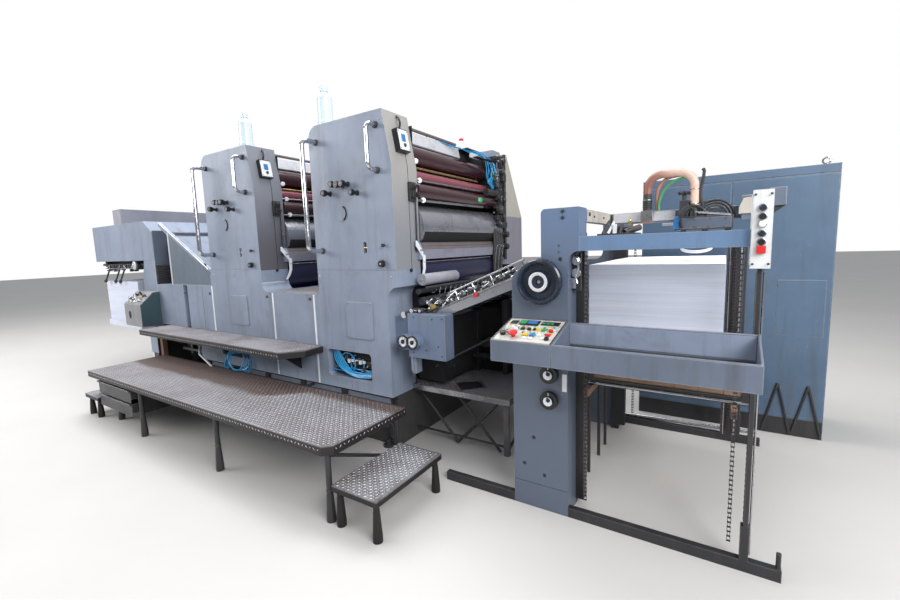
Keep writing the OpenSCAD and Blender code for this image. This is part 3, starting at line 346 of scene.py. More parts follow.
PRESS_GREY = (0.205, 0.245, 0.325)
FEEDER_GREY = (0.098, 0.122, 0.170)
STEEL, LUG, WORN = (0.155, 0.15, 0.16), (0.52, 0.51, 0.54), (0.26, 0.265, 0.285)
DUST, RUST = (0.055, 0.034, 0.028), (0.16, 0.105, 0.085)
MATS = {
    "press_grey": paint("press_grey", PRESS_GREY),
    "feeder_grey": paint("feeder_grey", FEEDER_GREY, dirt=(0.05, 0.04, 0.035)),
    "press_cream": paint("press_cream", (0.47, 0.45, 0.39), dirt=(0.16, 0.12, 0.08)),
    "drive_grey": paint("drive_grey", (0.27, 0.27, 0.31)),
    "cabinet_blue": paint("cabinet_blue", (0.074, 0.126, 0.200), dirt=(0.06, 0.07, 0.08)),
    "panel_white": paint("panel_white", (0.62, 0.64, 0.65), dirt=(0.2, 0.18, 0.15)),
    "black_metal": paint("black_metal", (0.016, 0.016, 0.019), dirt=(0.07, 0.05, 0.04),
                         chip=0.35, metal=(0.25, 0.25, 0.26)),
    "bed_dark": soft("bed_dark", (0.045, 0.042, 0.044), 0.65, 0.35, 7.0, amount=0.5),
    "tread_steel": tread_plate("tread_steel", STEEL, DUST),
    "chrome": metal("chrome", (0.62, 0.62, 0.66), 0.2, amount=0.1),
    "steel": metal("steel", (0.45, 0.45, 0.47), 0.34, (1, 1, 1), amount=0.5),
    "plate_metal": metal("plate_metal", (0.40, 0.40, 0.44), 0.28, (4.0, 0.2, 4.0), amount=0.5,
                         metallic=0.75),
    "blanket_rubber": soft("blanket_rubber", (0.011, 0.011, 0.045), 0.34, 0.2, 5.0, coat=0.2),
    "ink_rubber": soft("ink_rubber", (0.036, 0.008, 0.012), 0.14, 0.3, 4.0, coat=0.5,
                       dirt=(0.01, 0.006, 0.006), amount=0.5),
    "ink_rubber_pink": soft("ink_rubber_pink", (0.26, 0.075, 0.095), 0.24, 0.2, 4.0, coat=0.3),
    "black_plastic": soft("black_plastic", (0.007, 0.007, 0.010), 0.34, 0.2, 20.0, amount=0.05),
    "black_rubber": soft("black_rubber", (0.022, 0.021, 0.021), 0.6, 0.3, 20.0),
    "white_plastic": soft("white_plastic", (0.70, 0.72, 0.74), 0.35, 0.06, 10.0, amount=0.2),
    "bottle_plastic": soft("bottle_plastic", (0.62, 0.72, 0.80), 0.22, 0.08, 9.0, amount=0.1),
    "blue_plastic": soft("blue_plastic", (0.03, 0.16, 0.42), 0.3, 0.1, 10.0, amount=0.1),
    "red_plastic": soft("red_plastic", (0.55, 0.02, 0.02), 0.3, 0.1, 10.0, amount=0.1),
    "green_plastic": soft("green_plastic", (0.03, 0.30, 0.10), 0.3, 0.1, 10.0, amount=0.1),
    "yellow_plastic": soft("yellow_plastic", (0.62, 0.42, 0.03), 0.3, 0.1, 10.0, amount=0.1),
    "hose_blue": soft("hose_blue", (0.02, 0.27, 0.55), 0.25, 0.1, 20.0, amount=0.1, coat=0.3),
    "hose_brown": soft("hose_brown", (0.36, 0.17, 0.12), 0.4, 0.2, 12.0),
    "paper": paper_pile("paper"),
    "wood": plank("wood", (0.30, 0.19, 0.13)),
    "dark": soft("dark", (0.008, 0.008, 0.009), 0.85, 0.3, 9.0, amount=0.1),
    "silver": metal("silver", (0.66, 0.67, 0.70), 0.42, amount=0.35, metallic=0.35),
    "brass": metal("brass", (0.50, 0.38, 0.16), 0.35, amount=0.4),
    "plate_dirty": soft("plate_dirty", (0.12, 0.10, 0.10), 0.45, 0.3, 9.0, amount=0.5),
    "hose_green": soft("hose_green", (0.06, 0.26, 0.09), 0.35, 0.1, 20.0, amount=0.1),
    "bracket_beige": paint("bracket_beige", (0.42, 0.39, 0.34), dirt=(0.12, 0.10, 0.08)),
    "paper_top": soft("paper_top", (0.80, 0.80, 0.83), 0.8, 0.03, 6.0, amount=0.06),
    "bracket_rust": soft("bracket_rust", (0.16, 0.085, 0.06), 0.7, 0.4, 12.0),
    "guard_grey": metal("guard_grey", (0.27, 0.27, 0.33), 0.45, amount=0.4, metallic=0.2),
    "beam_blue": paint("beam_blue", (0.10, 0.175, 0.30)),
    "box_grey": paint("box_grey", tuple(c * k for c, k in zip(PRESS_GREY, (0.62, 0.70, 0.80)))),
    "strip_white": paint("strip_white", (0.72, 0.75, 0.80), dirt_amount=0.2, chip=0.1),
    "wheel_black": soft("wheel_black", (0.011, 0.018, 0.034), 0.25, 0.3, 20.0, amount=0.08, coat=0.2),
    "panel_cream": paint("panel_cream", (0.46, 0.45, 0.41), dirt_amount=0.6, chip=0.2),
    "console_dark": paint("console_dark", (0.024, 0.055, 0.068)),
    "panel_dark": paint("panel_dark", (0.06, 0.08, 0.115)),
    "hose_faded": faded_hose("hose_faded"),
    # Right faces of the units: painted shade, lighter at the top and darker lower down; unit 2's lies
    # in the shade of unit 1
    "unit_1_side": height_blend_paint("unit_1_side", (0.36, 0.35, 0.33), (0.235, 0.24, 0.265)),
    "unit_2_side": height_blend_paint("unit_2_side", (0.22, 0.235, 0.275), (0.095, 0.092, 0.108)),
    "slope_shade": paint("slope_shade", (0.092, 0.130, 0.172)),
    "tray_lit_grey": paint("tray_lit_grey", (0.21, 0.25, 0.34)),
    "column_blue": height_blend_paint("column_blue", (0.115, 0.172, 0.285), FEEDER_GREY, 0.95, 1.45),
    "console_grey": paint("console_grey", (0.25, 0.255, 0.27)),
    "drawer_grey": paint("drawer_grey", (0.022, 0.021, 0.025), dirt=(0.05, 0.04, 0.036)),
    "chain_dark": metal("chain_dark", (0.11, 0.10, 0.10), 0.4, amount=0.4),
    "cover_cream": paint("cover_cream", (0.43, 0.41, 0.36), dirt=(0.16, 0.12, 0.08),
                         level=1.5, low=(0.22, 0.215, 0.26)),
    "small_step": tread_plate("small_step", WORN, DUST, cad("small_step")[5] / 1000.0 - 0.006),
    "end_step": tread_plate("end_step", WORN, DUST, cad("end_step")[5] / 1000.0 - 0.006),
    "platform": tread_plate("platform", STEEL, DUST, 0.371, 0.9, 0.3, True),
    "platform_lug": tread_plate("platform_lug", LUG, RUST, 0.0, 0.85, 0.6, True),
    "lug_steel": tread_plate("lug_steel", LUG, RUST, 0.0, 0.5, 0.6),
    "running_board": tread_plate("running_board", STEEL, DUST, 0.604, 0.75, 0.25),
    "duct_grey": paint("duct_grey", (0.20, 0.205, 0.245), dirt_amount=0.2),
}


# Nodes whose paint differs from the rest of their slot
NODE_MATS = {
    "feeder_column": "column_blue", "control_panel": "feeder_grey", "tool_tray": "feeder_grey",
    "feeder_drive_side": "feeder_grey", "feeder_beam": "beam_blue",
    "delivery_console": "console_grey", "upper_drawer": "drawer_grey",
    "lower_drawer": "drawer_grey", "unit_1_drive_cover": "cover_cream",
    "unit_2_drive_cover": "cover_cream", "small_step": "small_step", "end_step": "end_step",
    "infeed_side_box": "box_grey", "handwheel": "wheel_black", "suction_hoses": "hose_faded",
    "platform_deck": "platform", "running_board": "running_board", "delivery_duct": "duct_grey",
    "delivery_levers": "black_metal",
}


def dress_nodes():
    """Every CAD node takes the material of its slot in the record."""
    slots = {s["node"]: s["material_slot"] for s in frame["record"]["subparts"]}
    for name, obj in NODES.items():
        obj.data.materials.clear()
        obj.data.materials.append(MATS[NODE_MATS.get(name, slots[name])])


dress_nodes()


# Pieces


def spline(points, steps=8):
    """Points of a smooth curve through the given ones."""
    pts = [Vector(p) for p in points]
    pts = [2 * pts[0] - pts[1]] + pts + [2 * pts[-1] - pts[-2]]
    out = []
    for i in range(1, len(pts) - 2):
        a, b, c, d = pts[i - 1:i + 3]
        for k in range(steps):
            t = k / steps
            out.append(0.5 * (2 * b + (c - a) * t + (2 * a - 5 * b + 4 * c - d) * t * t
                              + (3 * b - a - 3 * c + d) * t ** 3))
    return out + [pts[-2]]


class Piece:
    """One named piece, built in the drawing frame in millimetres."""

    def __init__(self, name, mat, body="press"):
        self.name, self.mat, self.body = name, mat, body
        self.verts, self.faces = [], []
        self.turn = Matrix.Identity(4)

    def add(self, verts, faces):
        start = len(self.verts)
        self.verts += [self.turn @ Vector(v) for v in verts]
        self.faces += [[start + i for i in face] for face in faces]

    def prism(self, points, axis, a, b):
        """A polygon across an axis, from a to b along it: (y, z), (x, z) or (x, y) points."""
        n = len(points)
        area = sum(points[i - 1][0] * points[i][1] - points[i][0] * points[i - 1][1]
                   for i in range(n))
        if (area < 0) != (axis == "y"):
            points = points[::-1]
        at = {"x": lambda p, h: (h, p[0], p[1]), "y": lambda p, h: (p[0], h, p[1]),
              "z": lambda p, h: (p[0], p[1], h)}[axis]
        verts = [at(p, a) for p in points] + [at(p, b) for p in points]
        faces = [list(range(n))[::-1], list(range(n, 2 * n))]
        faces += [[i, (i + 1) % n, n + (i + 1) % n, n + i] for i in range(n)]
        self.add(verts, faces)

    def box(self, x0, x1, y0, y1, z0, z1):
        self.prism([(x0, z0), (x1, z0), (x1, z1), (x0, z1)], "y", y0, y1)

    def tube(self, points, r, sides=10, loop=False):
        """A round bar or hose; r is its radius, or one radius for each point."""
        pts = [Vector(p) for p in points]
        n = len(pts)
        radii = r if isinstance(r, list) else [r] * n
        ways = []
        for i in range(n):
            ahead = pts[(i + 1) % n] if loop else pts[min(i + 1, n - 1)]
            behind = pts[i - 1] if loop else pts[max(i - 1, 0)]
            ways.append((ahead - behind).normalized())
        side = ways[0].orthogonal().normalized()
        verts, faces = [], []
        for i, way in enumerate(ways):
            if i:
                side = ways[i - 1].rotation_difference(way) @ side
            side = (side - way * side.dot(way)).normalized()
            up = way.cross(side)
            for k in range(sides):
                a = 2 * math.pi * k / sides
                verts.append(pts[i] + radii[i] * (math.cos(a) * side + math.sin(a) * up))
        for i in range(n if loop else n - 1):
            j = (i + 1) % n
            for k in range(sides):
                m = (k + 1) % sides
                faces.append([i * sides + k, i * sides + m, j * sides + m, j * sides + k])
        if not loop:
            faces.append(list(range(sides))[::-1])
            faces.append(list(range((n - 1) * sides, n * sides)))
        self.add(verts, faces)

    def rod(self, a, b, r, sides=16, r1=None):
        self.tube([a, b], [r, r if r1 is None else r1], sides)

    def hose(self, points, r, sides=10, steps=8):
        self.tube(spline(points, steps), r, sides)

    def lathe(self, at, way, profile, sides=20):
        """A turned shape: (radius, height) points along way from at."""
        at, way = Vector(at), Vector(way).normalized()
        side = way.orthogonal().normalized()
        up = way.cross(side)
        n = len(profile)
        verts = []
        for r, h in profile:
            for k in range(sides):
                a = 2 * math.pi * k / sides
                verts.append(at + way * h + r * (math.cos(a) * side + math.sin(a) * up))
        faces = [[i * sides + k, i * sides + (k + 1) % sides, (i + 1) * sides + (k + 1) % sides,
                  (i + 1) * sides + k] for i in range(n - 1) for k in range(sides)]
        if profile[0][1] == profile[-1][1]:
            last = (n - 1) * sides
            faces += [[last + k, last + (k + 1) % sides, (k + 1) % sides, k]
                      for k in range(sides)]
        else:
            faces += [list(range(sides))[::-1], list(range((n - 1) * sides, n * sides))]
        self.add(verts, faces)

    def ring(self, at, way, big, small, seg=32, sides=8, start=0.0, sweep=360.0):
        """A round wire ring or a part of one."""
        at, way = Vector(at), Vector(way).normalized()
        side = way.orthogonal().normalized()
        up = way.cross(side)
        whole = sweep >= 360
        count = seg if whole else seg + 1
        pts = []
        for k in range(count):
            a = math.radians(start + sweep * k / seg)
            pts.append(at + big * (math.cos(a) * side + math.sin(a) * up))
        self.tube(pts, small, sides, whole)

    def screw(self, at, way, r=5.0, h=3.0, sides=12):
        self.lathe(at, way, [(r, 0), (r, h * 0.7), (r * 0.8, h)], sides)

    def ball(self, at, r, rings=6, sides=12):
        self.lathe(at, (0, 0, 1), [(max(0.05, r * math.sin(math.pi * k / rings)),
                                    -r * math.cos(math.pi * k / rings))
                                   for k in range(rings + 1)], sides)

    def done(self, bevel=0.0, smooth=35.0, replaces=()):
        mesh = bpy.data.meshes.new(self.name)
        mesh.from_pydata([to_row(*v) for v in self.verts], [], self.faces)
        shell = bmesh.new()
        shell.from_mesh(mesh)
        bmesh.ops.recalc_face_normals(shell, faces=shell.faces)
        shell.to_mesh(mesh)
        shell.free()
        mesh.materials.append(MATS[self.mat])
        mesh.shade_smooth()
        mesh.set_sharp_from_angle(angle=math.radians(smooth))
        obj = bpy.data.objects.new(self.name, mesh)
        bpy.context.scene.collection.objects.link(obj)
        if bevel > 0:
            mod = obj.modifiers.new("edges", "BEVEL")
            mod.width = bevel / 1000.0
            mod.segments = 2
            mod.limit_method = "ANGLE"
            mod.angle_limit = math.radians(40)
            mod.harden_normals = True
        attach(obj, self.body)
        if replaces:
            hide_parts(*replaces)
        return obj


# Half length and half width of a lug at its foot and at its top, and its height
LUG_FOOT, LUG_TOP, LUG_H = (8.2, 3.0), (5.4, 1.3), 1.7


def chequer(piece, corner, along, across, length, width, pitch=17.0, keep=None):
    """Raised lugs of chequer plate, crosswise in turn, on a flat field."""
    corner, along, across = Vector(corner), Vector(along), Vector(across)
    up = along.cross(across)
    margin = 10.0
    for i in range(int((length - 2 * margin) / pitch) + 1):
        for j in range(int((width - 2 * margin) / pitch) + 1):
            u, v = margin + i * pitch, margin + j * pitch
            if keep and not keep(u, v):
                continue
            mid = corner + along * u + across * v
            turn = 1.0 if (i + j) % 2 else -1.0
            way = (along + turn * across).normalized()
            side = (across - turn * along).normalized()
            verts = [mid + way * (a * l) + side * (b * w) + up * h
                     for (l, w), h in ((LUG_FOOT, 0.0), (LUG_TOP, LUG_H))
                     for a, b in ((1, 0), (0, 1), (-1, 0), (0, -1))]
            piece.add(verts, [[k, (k + 1) % 4, 4 + (k + 1) % 4, 4 + k] for k in range(4)]
                      + [[4, 5, 6, 7]])


X, Y, Z = Vector((1, 0, 0)), Vector((0, 1, 0)), Vector((0, 0, 1))
UNIT_H = cad("unit_1_frame")[5]
UNIT_1, UNIT_2 = cad("unit_1_frame")[0], cad("unit_2_frame")[0]
UNIT_W = 678.0


def clipped(x0, x1, cut_x, cut_y):
    """Keeps lugs off the clipped front corner of a tread."""
    return lambda u, v: (x1 - x0 - u) / cut_x + v / cut_y > 1.25


def steps():
    lugs = Piece("platform_lugs", "platform_lug")
    x0, x1, y0, y1, _, z1 = cad("platform_deck")
    chequer(lugs, (x0, y0, z1), X, Y, x1 - x0, y1 - y0, keep=clipped(x0, x1, 40, 40))
    chequer(lugs, (x1, y0 + 45, z1 - 30), Y, Z, y1 - y0 - 45, 32, 26)
    chequer(lugs, (x0, y0, z1 - 30), X, Z, x1 - x0 - 42, 32, 26)
    lugs.done(smooth=20)
    rim = Piece("platform_rim", "lug_steel")
    rim.rod((x1 - 2.6, y0 + 40, z1 - 2.2), (x1 - 2.6, y1 - 4, z1 - 2.2), 2.4, 10)
    rim.rod((x0 + 2, y0 + 2.6, z1 - 2.2), (x1 - 42, y0 + 2.6, z1 - 2.2), 2.4, 10)
    rim.rod((x1 - 41, y0 + 2.6, z1 - 2.2), (x1 - 2.6, y0 + 41, z1 - 2.2), 2.4, 10)
    rim.done()
    lugs = Piece("running_board_lugs", "lug_steel")
    x0, x1, y0, y1, _, z1 = cad("running_board")
    chequer(lugs, (x0, y0, z1), X, Y, x1 - x0, y1 - y0, keep=clipped(x0, x1, 110, 120))
    chequer(lugs, (x0, y0, z1 - 36), X, Z, x1 - x0 - 112, 30, 28)
    lugs.done(smooth=20)
    lugs = Piece("step_lugs", "lug_steel")
    for node, front in (("small_step", 0), ("end_step", 0)):
        x0, x1, y0, y1, _, z1 = cad(node)
        chequer(lugs, (x0, y0, z1), X, Y, x1 - x0, y1 - y0)
    lugs.done(smooth=20)
    lugs = Piece("walkway_lugs", "lug_steel")
    x0, x1, y0, y1, _, z1 = cad("walkway")
    chequer(lugs, (x0 + 72, y0, 962), X, Y, x1 - x0 - 72, y1 - y0)
    lugs.done(smooth=20)
    lugs = Piece("infeed_deck_lugs", "lug_steel")
    x0, x1, y0, y1, _, z1 = cad("infeed_deck")
    chequer(lugs, (x0, 203, z1), X, Y, x1 - x0, y1 - 203,
            keep=lambda u, v: (abs(x0 + u + 500) + abs(203 + v - 335) > 112
                               and (x0 + u > -840 or v > 56)))
    lugs.done(smooth=20)

    # Walkway tread laid on the grey side panels
    tread = Piece("walkway_tread", "tread_steel")
    x0, x1, y0, y1, _, _ = cad("walkway")
    tread.box(x0 + 72, x1 - 0.5, y0 + 0.5, y1, 962.2, 962.9)
    tread.done()

    # Bracing of the platform below its deck
    brace = Piece("platform_braces", "black_metal")
    px0, px1, py0, py1, _, pz1 = cad("platform_deck")
    brace.rod((px1 - 40, py0 + 42, pz1 - 56), (px1 - 40, py1 - 50, 110), 9)
    for x in (px1 - 240, px1 - 760, px1 - 1240, px1 - 1720, px1 - 2200):
        brace.box(x, x + 34, py0 + 8, py1 - 8, pz1 - 44, pz1 - 7)
    brace.done(1.0)
    rims = Piece("foot_rims", "black_metal")
    for x in (px1 - 40, px1 - 979, px1 - 1938):
        for y in (py0 + 35, py1 - 35):
            rims.lathe((x, y, 146), Z, [(15.6, 0), (16.8, 2), (16.8, 9), (14.4, 11)], 20)
    rims.done()

    for name, body in (("upper_drawer", "upper_drawer"), ("lower_drawer", "lower_drawer")):
        dx0, dx1, dy0, _, dz0, dz1 = cad(name)
        pull = Piece(name + "_trim", "steel", body)
        pull.box(dx0 + 0.5, dx1 - 0.5, dy0 + 0.6, dy0 + 13, dz1 + 0.1, dz1 + 1.4)
        pull.box(dx0 + 2, dx1 - 2, dy0 + 12.4, dy0 + 14, dz0 + 1, dz0 + 3.5)
        for x in (dx0 + 24, dx1 - 24):
            pull.screw((x, dy0 + 14, dz0 + 26), -Y, 4, 2)
        pull.done(0.4)
        front = Piece(name + "_front", "drawer_grey", body)
        front.box(dx0 + 0.5, dx1 - 0.5, dy0 + 10, dy0 + 13.8, dz0 - 26, dz1 - 14)
        front.done(0.8)
        tools = Piece(name + "_liner", "dark", body)
        tools.box(dx0 + 8, dx1 - 8, dy0 + 24, dy0 + 408, dz0 + 5.2, dz0 + 8)
        tools.done()


steps()


def covers(tag, u0, first):
    """Small parts on the operator covers of a unit whose left edge is at u0."""
    screws = Piece(tag + "_cover_screws", "steel")
    lid_x, lid_z, lid_w, lid_h = 253, 690, 221, 235
    for x in (lid_x + 14, lid_x + lid_w - 14):
        for z in (lid_z + 14, lid_z + lid_h - 14):
            screws.screw((u0 + x, -8, z), -Y, 5, 2.4)
    for x, z in ((24, 1165), (24, 1085), (640, 1085), (24, 1960), (600, 1985)):
        screws.screw((u0 + x, 0, z), -Y, 5, 2)
    screws.done()

    brass = Piece(tag + "_slot_roller", "brass")
    brass.lathe((u0 + 428, 14, 1261), X, [(9, 0), (9, 11), (6, 12), (6, 14), (9, 15), (9, 26)], 18)
    brass.lathe((u0 + 441, 22, 1240), Z, [(5, 0), (5, 42)], 10)
    brass.done()
    # Dark sheets at the back of the slot and of the service opening: painted shade
    back = Piece(tag + "_recess_shade", "dark")
    back.box(u0 + 427, u0 + 455, 28, 29.7, 1228, 1294)
    back.box(u0 + 50, u0 + 438, 66, 69.7, 418, 594)
    back.done()

    white = Piece(tag + "_knob_marks", "white_plastic")
    white.lathe((u0 + 584, -30, 1164), -Y, [(4, 0), (4, 1.2), (3, 1.8)], 20)
    for dx, dz in ((168, -43), (239, 4), (287, -2), (330, 0), (405, -59)):
        white.lathe((u0 + dx, -66, UNIT_H - 390 + dz), -Y, [(2.2, 0), (2.2, 0.8)], 8)
    white.done()
    grips = Piece(tag + "_knob_grips", "black_plastic")
    for dx, dz in ((168, -43), (239, 4), (287, -2), (330, 0), (405, -59)):
        z = UNIT_H - 390 + dz
        grips.lathe((u0 + dx, -2, z), -Y, [(17, 0), (15, 6), (11, 8)], 18)
        for k in range(10):
            a = 2 * math.pi * k / 10
            grips.rod((u0 + dx + 17.5 * math.cos(a), -41, z + 17.5 * math.sin(a)),
                      (u0 + dx + 17.5 * math.cos(a), -63, z + 17.5 * math.sin(a)), 2.6, 8)
    grips.lathe((u0 + 584, -10, 1164), -Y, [(22, 0), (22, 6), (19.5, 8)], 22)
    grips.done()
    # Dark arc round one side of the embossed disc: painted shadow of its rim
    shade = Piece(tag + "_disc_shade_band", "dark")
    for k in range(9):
        a, b = math.radians(-62 + 14 * k), math.radians(-62 + 14 * (k + 1))
        shade.rod((u0 + 259 + 45 * math.cos(a), -3, 1479 + 45 * math.sin(a)),
                  (u0 + 259 + 45 * math.cos(b), -3, 1479 + 45 * math.sin(b)), 5.4, 8)
    shade.done()
    feet = Piece(tag + "_handle_feet", "black_metal")
    for x, z in ((68, UNIT_H - 789), (68, UNIT_H - 105), (575, UNIT_H - 337), (575, UNIT_H - 84)):
        feet.lathe((u0 + x, -0.2, z), -Y, [(19, 0), (19, 14), (16, 17)], 24)
    feet.done()

    # Valves and fittings in the service opening
    valves = Piece(tag + "_service_valves", "black_metal")
    shiny = Piece(tag + "_service_fittings", "brass")
    for k in range(9):
        x = u0 + 75 + 40 * k
        z = 445 + 34 * (k % 3) + rng.uniform(0, 14)
        w = rng.uniform(22, 34)
        valves.box(x, x + w, 44 + rng.uniform(0, 8), 66, z, z + rng.uniform(26, 50))
        shiny.lathe((x + w / 2, 46, z + 12), -Y, [(6, 0), (6, 8), (4, 9), (4, 18)], 6)
    valves.box(u0 + 60, u0 + 425, 56, 66, 425, 437)
    valves.done(1.2)
    shiny.done()
    hoses = Piece(tag + "_service_loops", "hose_blue")
    if first:
        for k in range(6):
            hoses.hose([(u0 + 66 + 8 * k, 40, 588), (u0 + 92 + 20 * k, 24, 520 - 4 * k),
                        (u0 + 170 + 16 * k, 12 + 3 * k, 462 - 3 * k),
                        (u0 + 300, 10 + 4 * k, 428 + 6 * (k % 3)),
                        (u0 + 430, 26, 436 + 9 * k)], 4.4, 8)
    else:
        for k in range(3):
            hoses.ring((u0 + 567, -166 - 9 * k, 474), Vector((0.5 - 0.2 * k, -1, 0.1 * k)),
                       90 - 5 * k, 4.4, 40, 8)
        hoses.hose([(u0 + 400, 40, 560), (u0 + 470, -20, 600), (u0 + 560, -120, 590),
                    (u0 + 570, -150, 560)], 4.4, 8)
    hoses.done()
    pale = Piece(tag + "_service_clips", "white_plastic")
    for k in range(5):
        pale.box(u0 + 190 + 34 * k, u0 + 208 + 34 * k, 38, 52, 505 + 9 * (k % 3), 530)
    pale.done(0.8)


covers("unit_1", UNIT_1, True)
covers("unit_2", UNIT_2, False)


def on_slant(u0, s, t):
    """A point s down a unit's slanted front edge and t out of it: x and z."""
    dx, drop = 57.0, 313.0
    size = math.hypot(dx, drop)
    return (u0 + UNIT_W - dx + (dx * s + drop * t) / size, UNIT_H + (-drop * s + dx * t) / size)


def roller_side(tag, u0, first):
    """Parts round the open side of a unit, which faces the feeder."""
    y0, y1 = 238.0, 1378.0
    right = u0 + UNIT_W

    # Bright blade on the ink duct, below the pipe over the rollers
    blade = Piece(tag + "_ink_blade", "silver")
    blade.prism([(u0 + 520.2, 2004), (u0 + 528, 2004), (u0 + 547, 1925), (u0 + 540, 1919),
                 (u0 + 520.2, 1919)], "y", y0 + 6, 980)
    blade.done(1.5)
    pipe = Piece(tag + "_duct_pipe", "plate_dirty")
    pipe.rod((u0 + 505, y0 + 0.2, 2030), (u0 + 505, 980, 2028), 11, 20)
    for y in (330, 600, 860):
        pipe.rod((u0 + 505, y, 1988), (u0 + 505, y, 2022), 5, 10)
    pipe.done()

    # Bright rods with capped ends in front of the inking rollers
    golden = Piece(tag + "_inking_rod", "brass")
    golden.rod((u0 + 640, y0 + 0.2, 1745), (u0 + 640, 1070, 1746), 7, 14)
    golden.done()
    rods = Piece(tag + "_inking_rods", "steel")
    rods.rod((u0 + 655, y0 + 0.2, 1668), (u0 + 655, 1130, 1674), 7, 14)
    rods.rod((u0 + 672, y0 + 0.2, 1543), (u0 + 672, 1090, 1552), 9, 14)
    rods.rod((u0 + 700, y0 + 0.2, 1161), (u0 + 700, 1150, 1163), 3.5, 10)
    rods.done()
    caps = Piece(tag + "_rod_caps", "white_plastic")
    for x, y, z in ((640, 280, 1786), (654, 292, 1668), (672, 300, 1546)):
        caps.lathe((u0 + x, y, z), Vector((0.85, -0.5, 0)), [(17, 0), (17, 9), (14, 12)], 18)
    caps.box(u0 + 624, u0 + 640, y0 + 0.2, 284, 1780, 1792)
    caps.done()
    # Dark sheets round the rollers inside the unit: painted shade
    shade_backing = Piece(tag + "_roller_space_shade", "dark")
    shade_backing.box(u0 + 330.2, u0 + 331.2, y0 + 0.2, y1 - 0.2, 700, 1915)
    shade_backing.box(u0 + 333, u0 + 655, y1 - 1.5, y1 - 0.2, 700, 1988)
    shade_backing.box(u0 + 333, u0 + 655, y0 + 0.2, y0 + 1.5, 700, 1988)
    shade_backing.box(u0 + 520.2, u0 + 521, 980, y1 - 2, 1919, 1989)
    shade_backing.done()

    # Worn faces of the finger guard
    upper = Piece(tag + "_guard_upper", "plate_dirty")
    upper.prism([(u0 + 684.2, 1283.4), (u0 + 704.4, 1239.4), (u0 + 705.6, 1240),
                 (u0 + 685.4, 1284)], "y", y0 + 2, 1256)
    for x, z in ((687, 1281), (696, 1262)):
        upper.rod((u0 + x, y0 + 2, z), (u0 + x, 1256, z), 3, 10)
    upper.done()
    lower = Piece(tag + "_guard_lower", "guard_grey")
    lower.prism([(u0 + 704.6, 1238.6), (u0 + 698.6, 1178), (u0 + 700.2, 1178),
                 (u0 + 706.2, 1238.6)], "y", y0 + 2, 1256)
    lower.done()

    # Near frame: seam with its catch, black bracket, rod, bent guard
    # Dark band on the plate cylinder's lower front, which turns with it: the plate gap and painted
    # shade of the cylinder's lower part
    shade_band = Piece(tag + "_plate_shade_band", "dark", tag + "_plate_cylinder")
    arc = [(145.5 * math.cos(math.radians(a)), 145.5 * math.sin(math.radians(a)))
           for a in range(-74, -11, 6)]
    inner = [(x * 0.994, z * 0.994) for x, z in reversed(arc)]
    shade_band.prism([(u0 + 565 + x, 1385 + z) for x, z in arc + inner], "y", 262, 1360)
    shade_band.done(smooth=30)
    # Skin on the unit's right face carrying its painted shade, darker lower down
    skin = Piece(tag + "_shaded_side_skin", tag + "_side")
    skin.prism([(right + 0.05, 1122), (right + 0.45, 1122), (right + 0.45, 1727),
                on_slant(u0, 2, 0.45), on_slant(u0, 2, 0.05), (right + 0.05, 1727)],
               "y", 0.5, 236)
    skin.done()
    seam = Piece(tag + "_side_seam", "dark")
    a, b = on_slant(u0, 210, 0.2), on_slant(u0, 210, 1.0)
    seam.prism([(right + 0.1, 1118), (right + 1.0, 1118), (right + 1.0, 1727), b, a,
                (right + 0.1, 1727)], "y", 147, 151)
    seam.lathe((right, 138, 1116), X, [(11, 0), (11, 8), (8, 10)], 16)
    seam.done()
    frame_black = Piece(tag + "_side_bracket", "black_metal")
    frame_black.box(right - 8, right + 18, 140, 202, 1530, 1642)
    frame_black.box(right + 18, right + 36, 150, 190, 1552, 1584)
    frame_black.box(right + 18, right + 28, 146, 196, 1604, 1632)
    frame_black.rod((right + 12, 198, 1290), (right + 12, 198, 1640), 5, 10)
    frame_black.rod((right + 36, 172, 1568), (right + 66, 172, 1568), 8, 12)
    frame_black.lathe((right + 28, 172, 1618), X, [(12, 0), (12, 14), (9, 16)], 14)
    frame_black.box(right, right + 22, 186, 212, 1232, 1256)
    frame_black.done(1.2)
    guard = Piece(tag + "_bent_guard", "white_plastic")
    guard.prism([(168, 1294), (182, 1294), (264, 1198), (260, 1120), (244, 1078), (212, 1038),
                 (196, 1042), (222, 1084), (234, 1122), (236, 1190), (168, 1262)],
                "x", right + 22, right + 25)
    guard.done(0.6)
    lamp = Piece(tag + "_side_lamp", "green_plastic")
    lamp.lathe((right + 1, 214, 1392), X, [(8, 0), (8, 5), (5, 8)], 14)
    lamp.done()

    # Switch box on the slanted edge: case, pale face, rocker
    case = Piece(tag + "_switch_face", "white_plastic")
    pts = [on_slant(u0, s, t) for s, t in ((116, 36.4), (234, 36.4), (234, 39), (116, 39))]
    case.prism(pts, "y", 67, 155)
    case.done(0.6)
    rocker = Piece(tag + "_switch_rocker", "blue_plastic")
    pts = [on_slant(u0, s, t) for s, t in ((140, 39), (185, 39), (182, 44), (143, 44))]
    rocker.prism(pts, "y", 92, 124)
    rocker.done(1.0)
    gland = Piece(tag + "_switch_parts", "black_rubber")
    for s, y in ((124, 75), (124, 147), (226, 75), (226, 147)):
        x, z = on_slant(u0, s, 39)
        gland.screw((x, y, z), Vector((0.98, 0, 0.18)), 3, 1.5)
    x, z = on_slant(u0, 205, 39)
    gland.lathe((x, 112, z), Vector((0.98, 0, 0.18)), [(11, 0), (11, 4), (7, 7)], 16)
    x, z = on_slant(u0, 108, 18)
    gland.hose([(x, 110, z), (x + 8, 112, z + 40), (x - 30, 130, z + 85), (x - 90, 170, z + 70),
                (x - 120, 205, z + 46)], 6)
    gland.done()


roller_side("unit_1", UNIT_1, True)
roller_side("unit_2", UNIT_2, False)


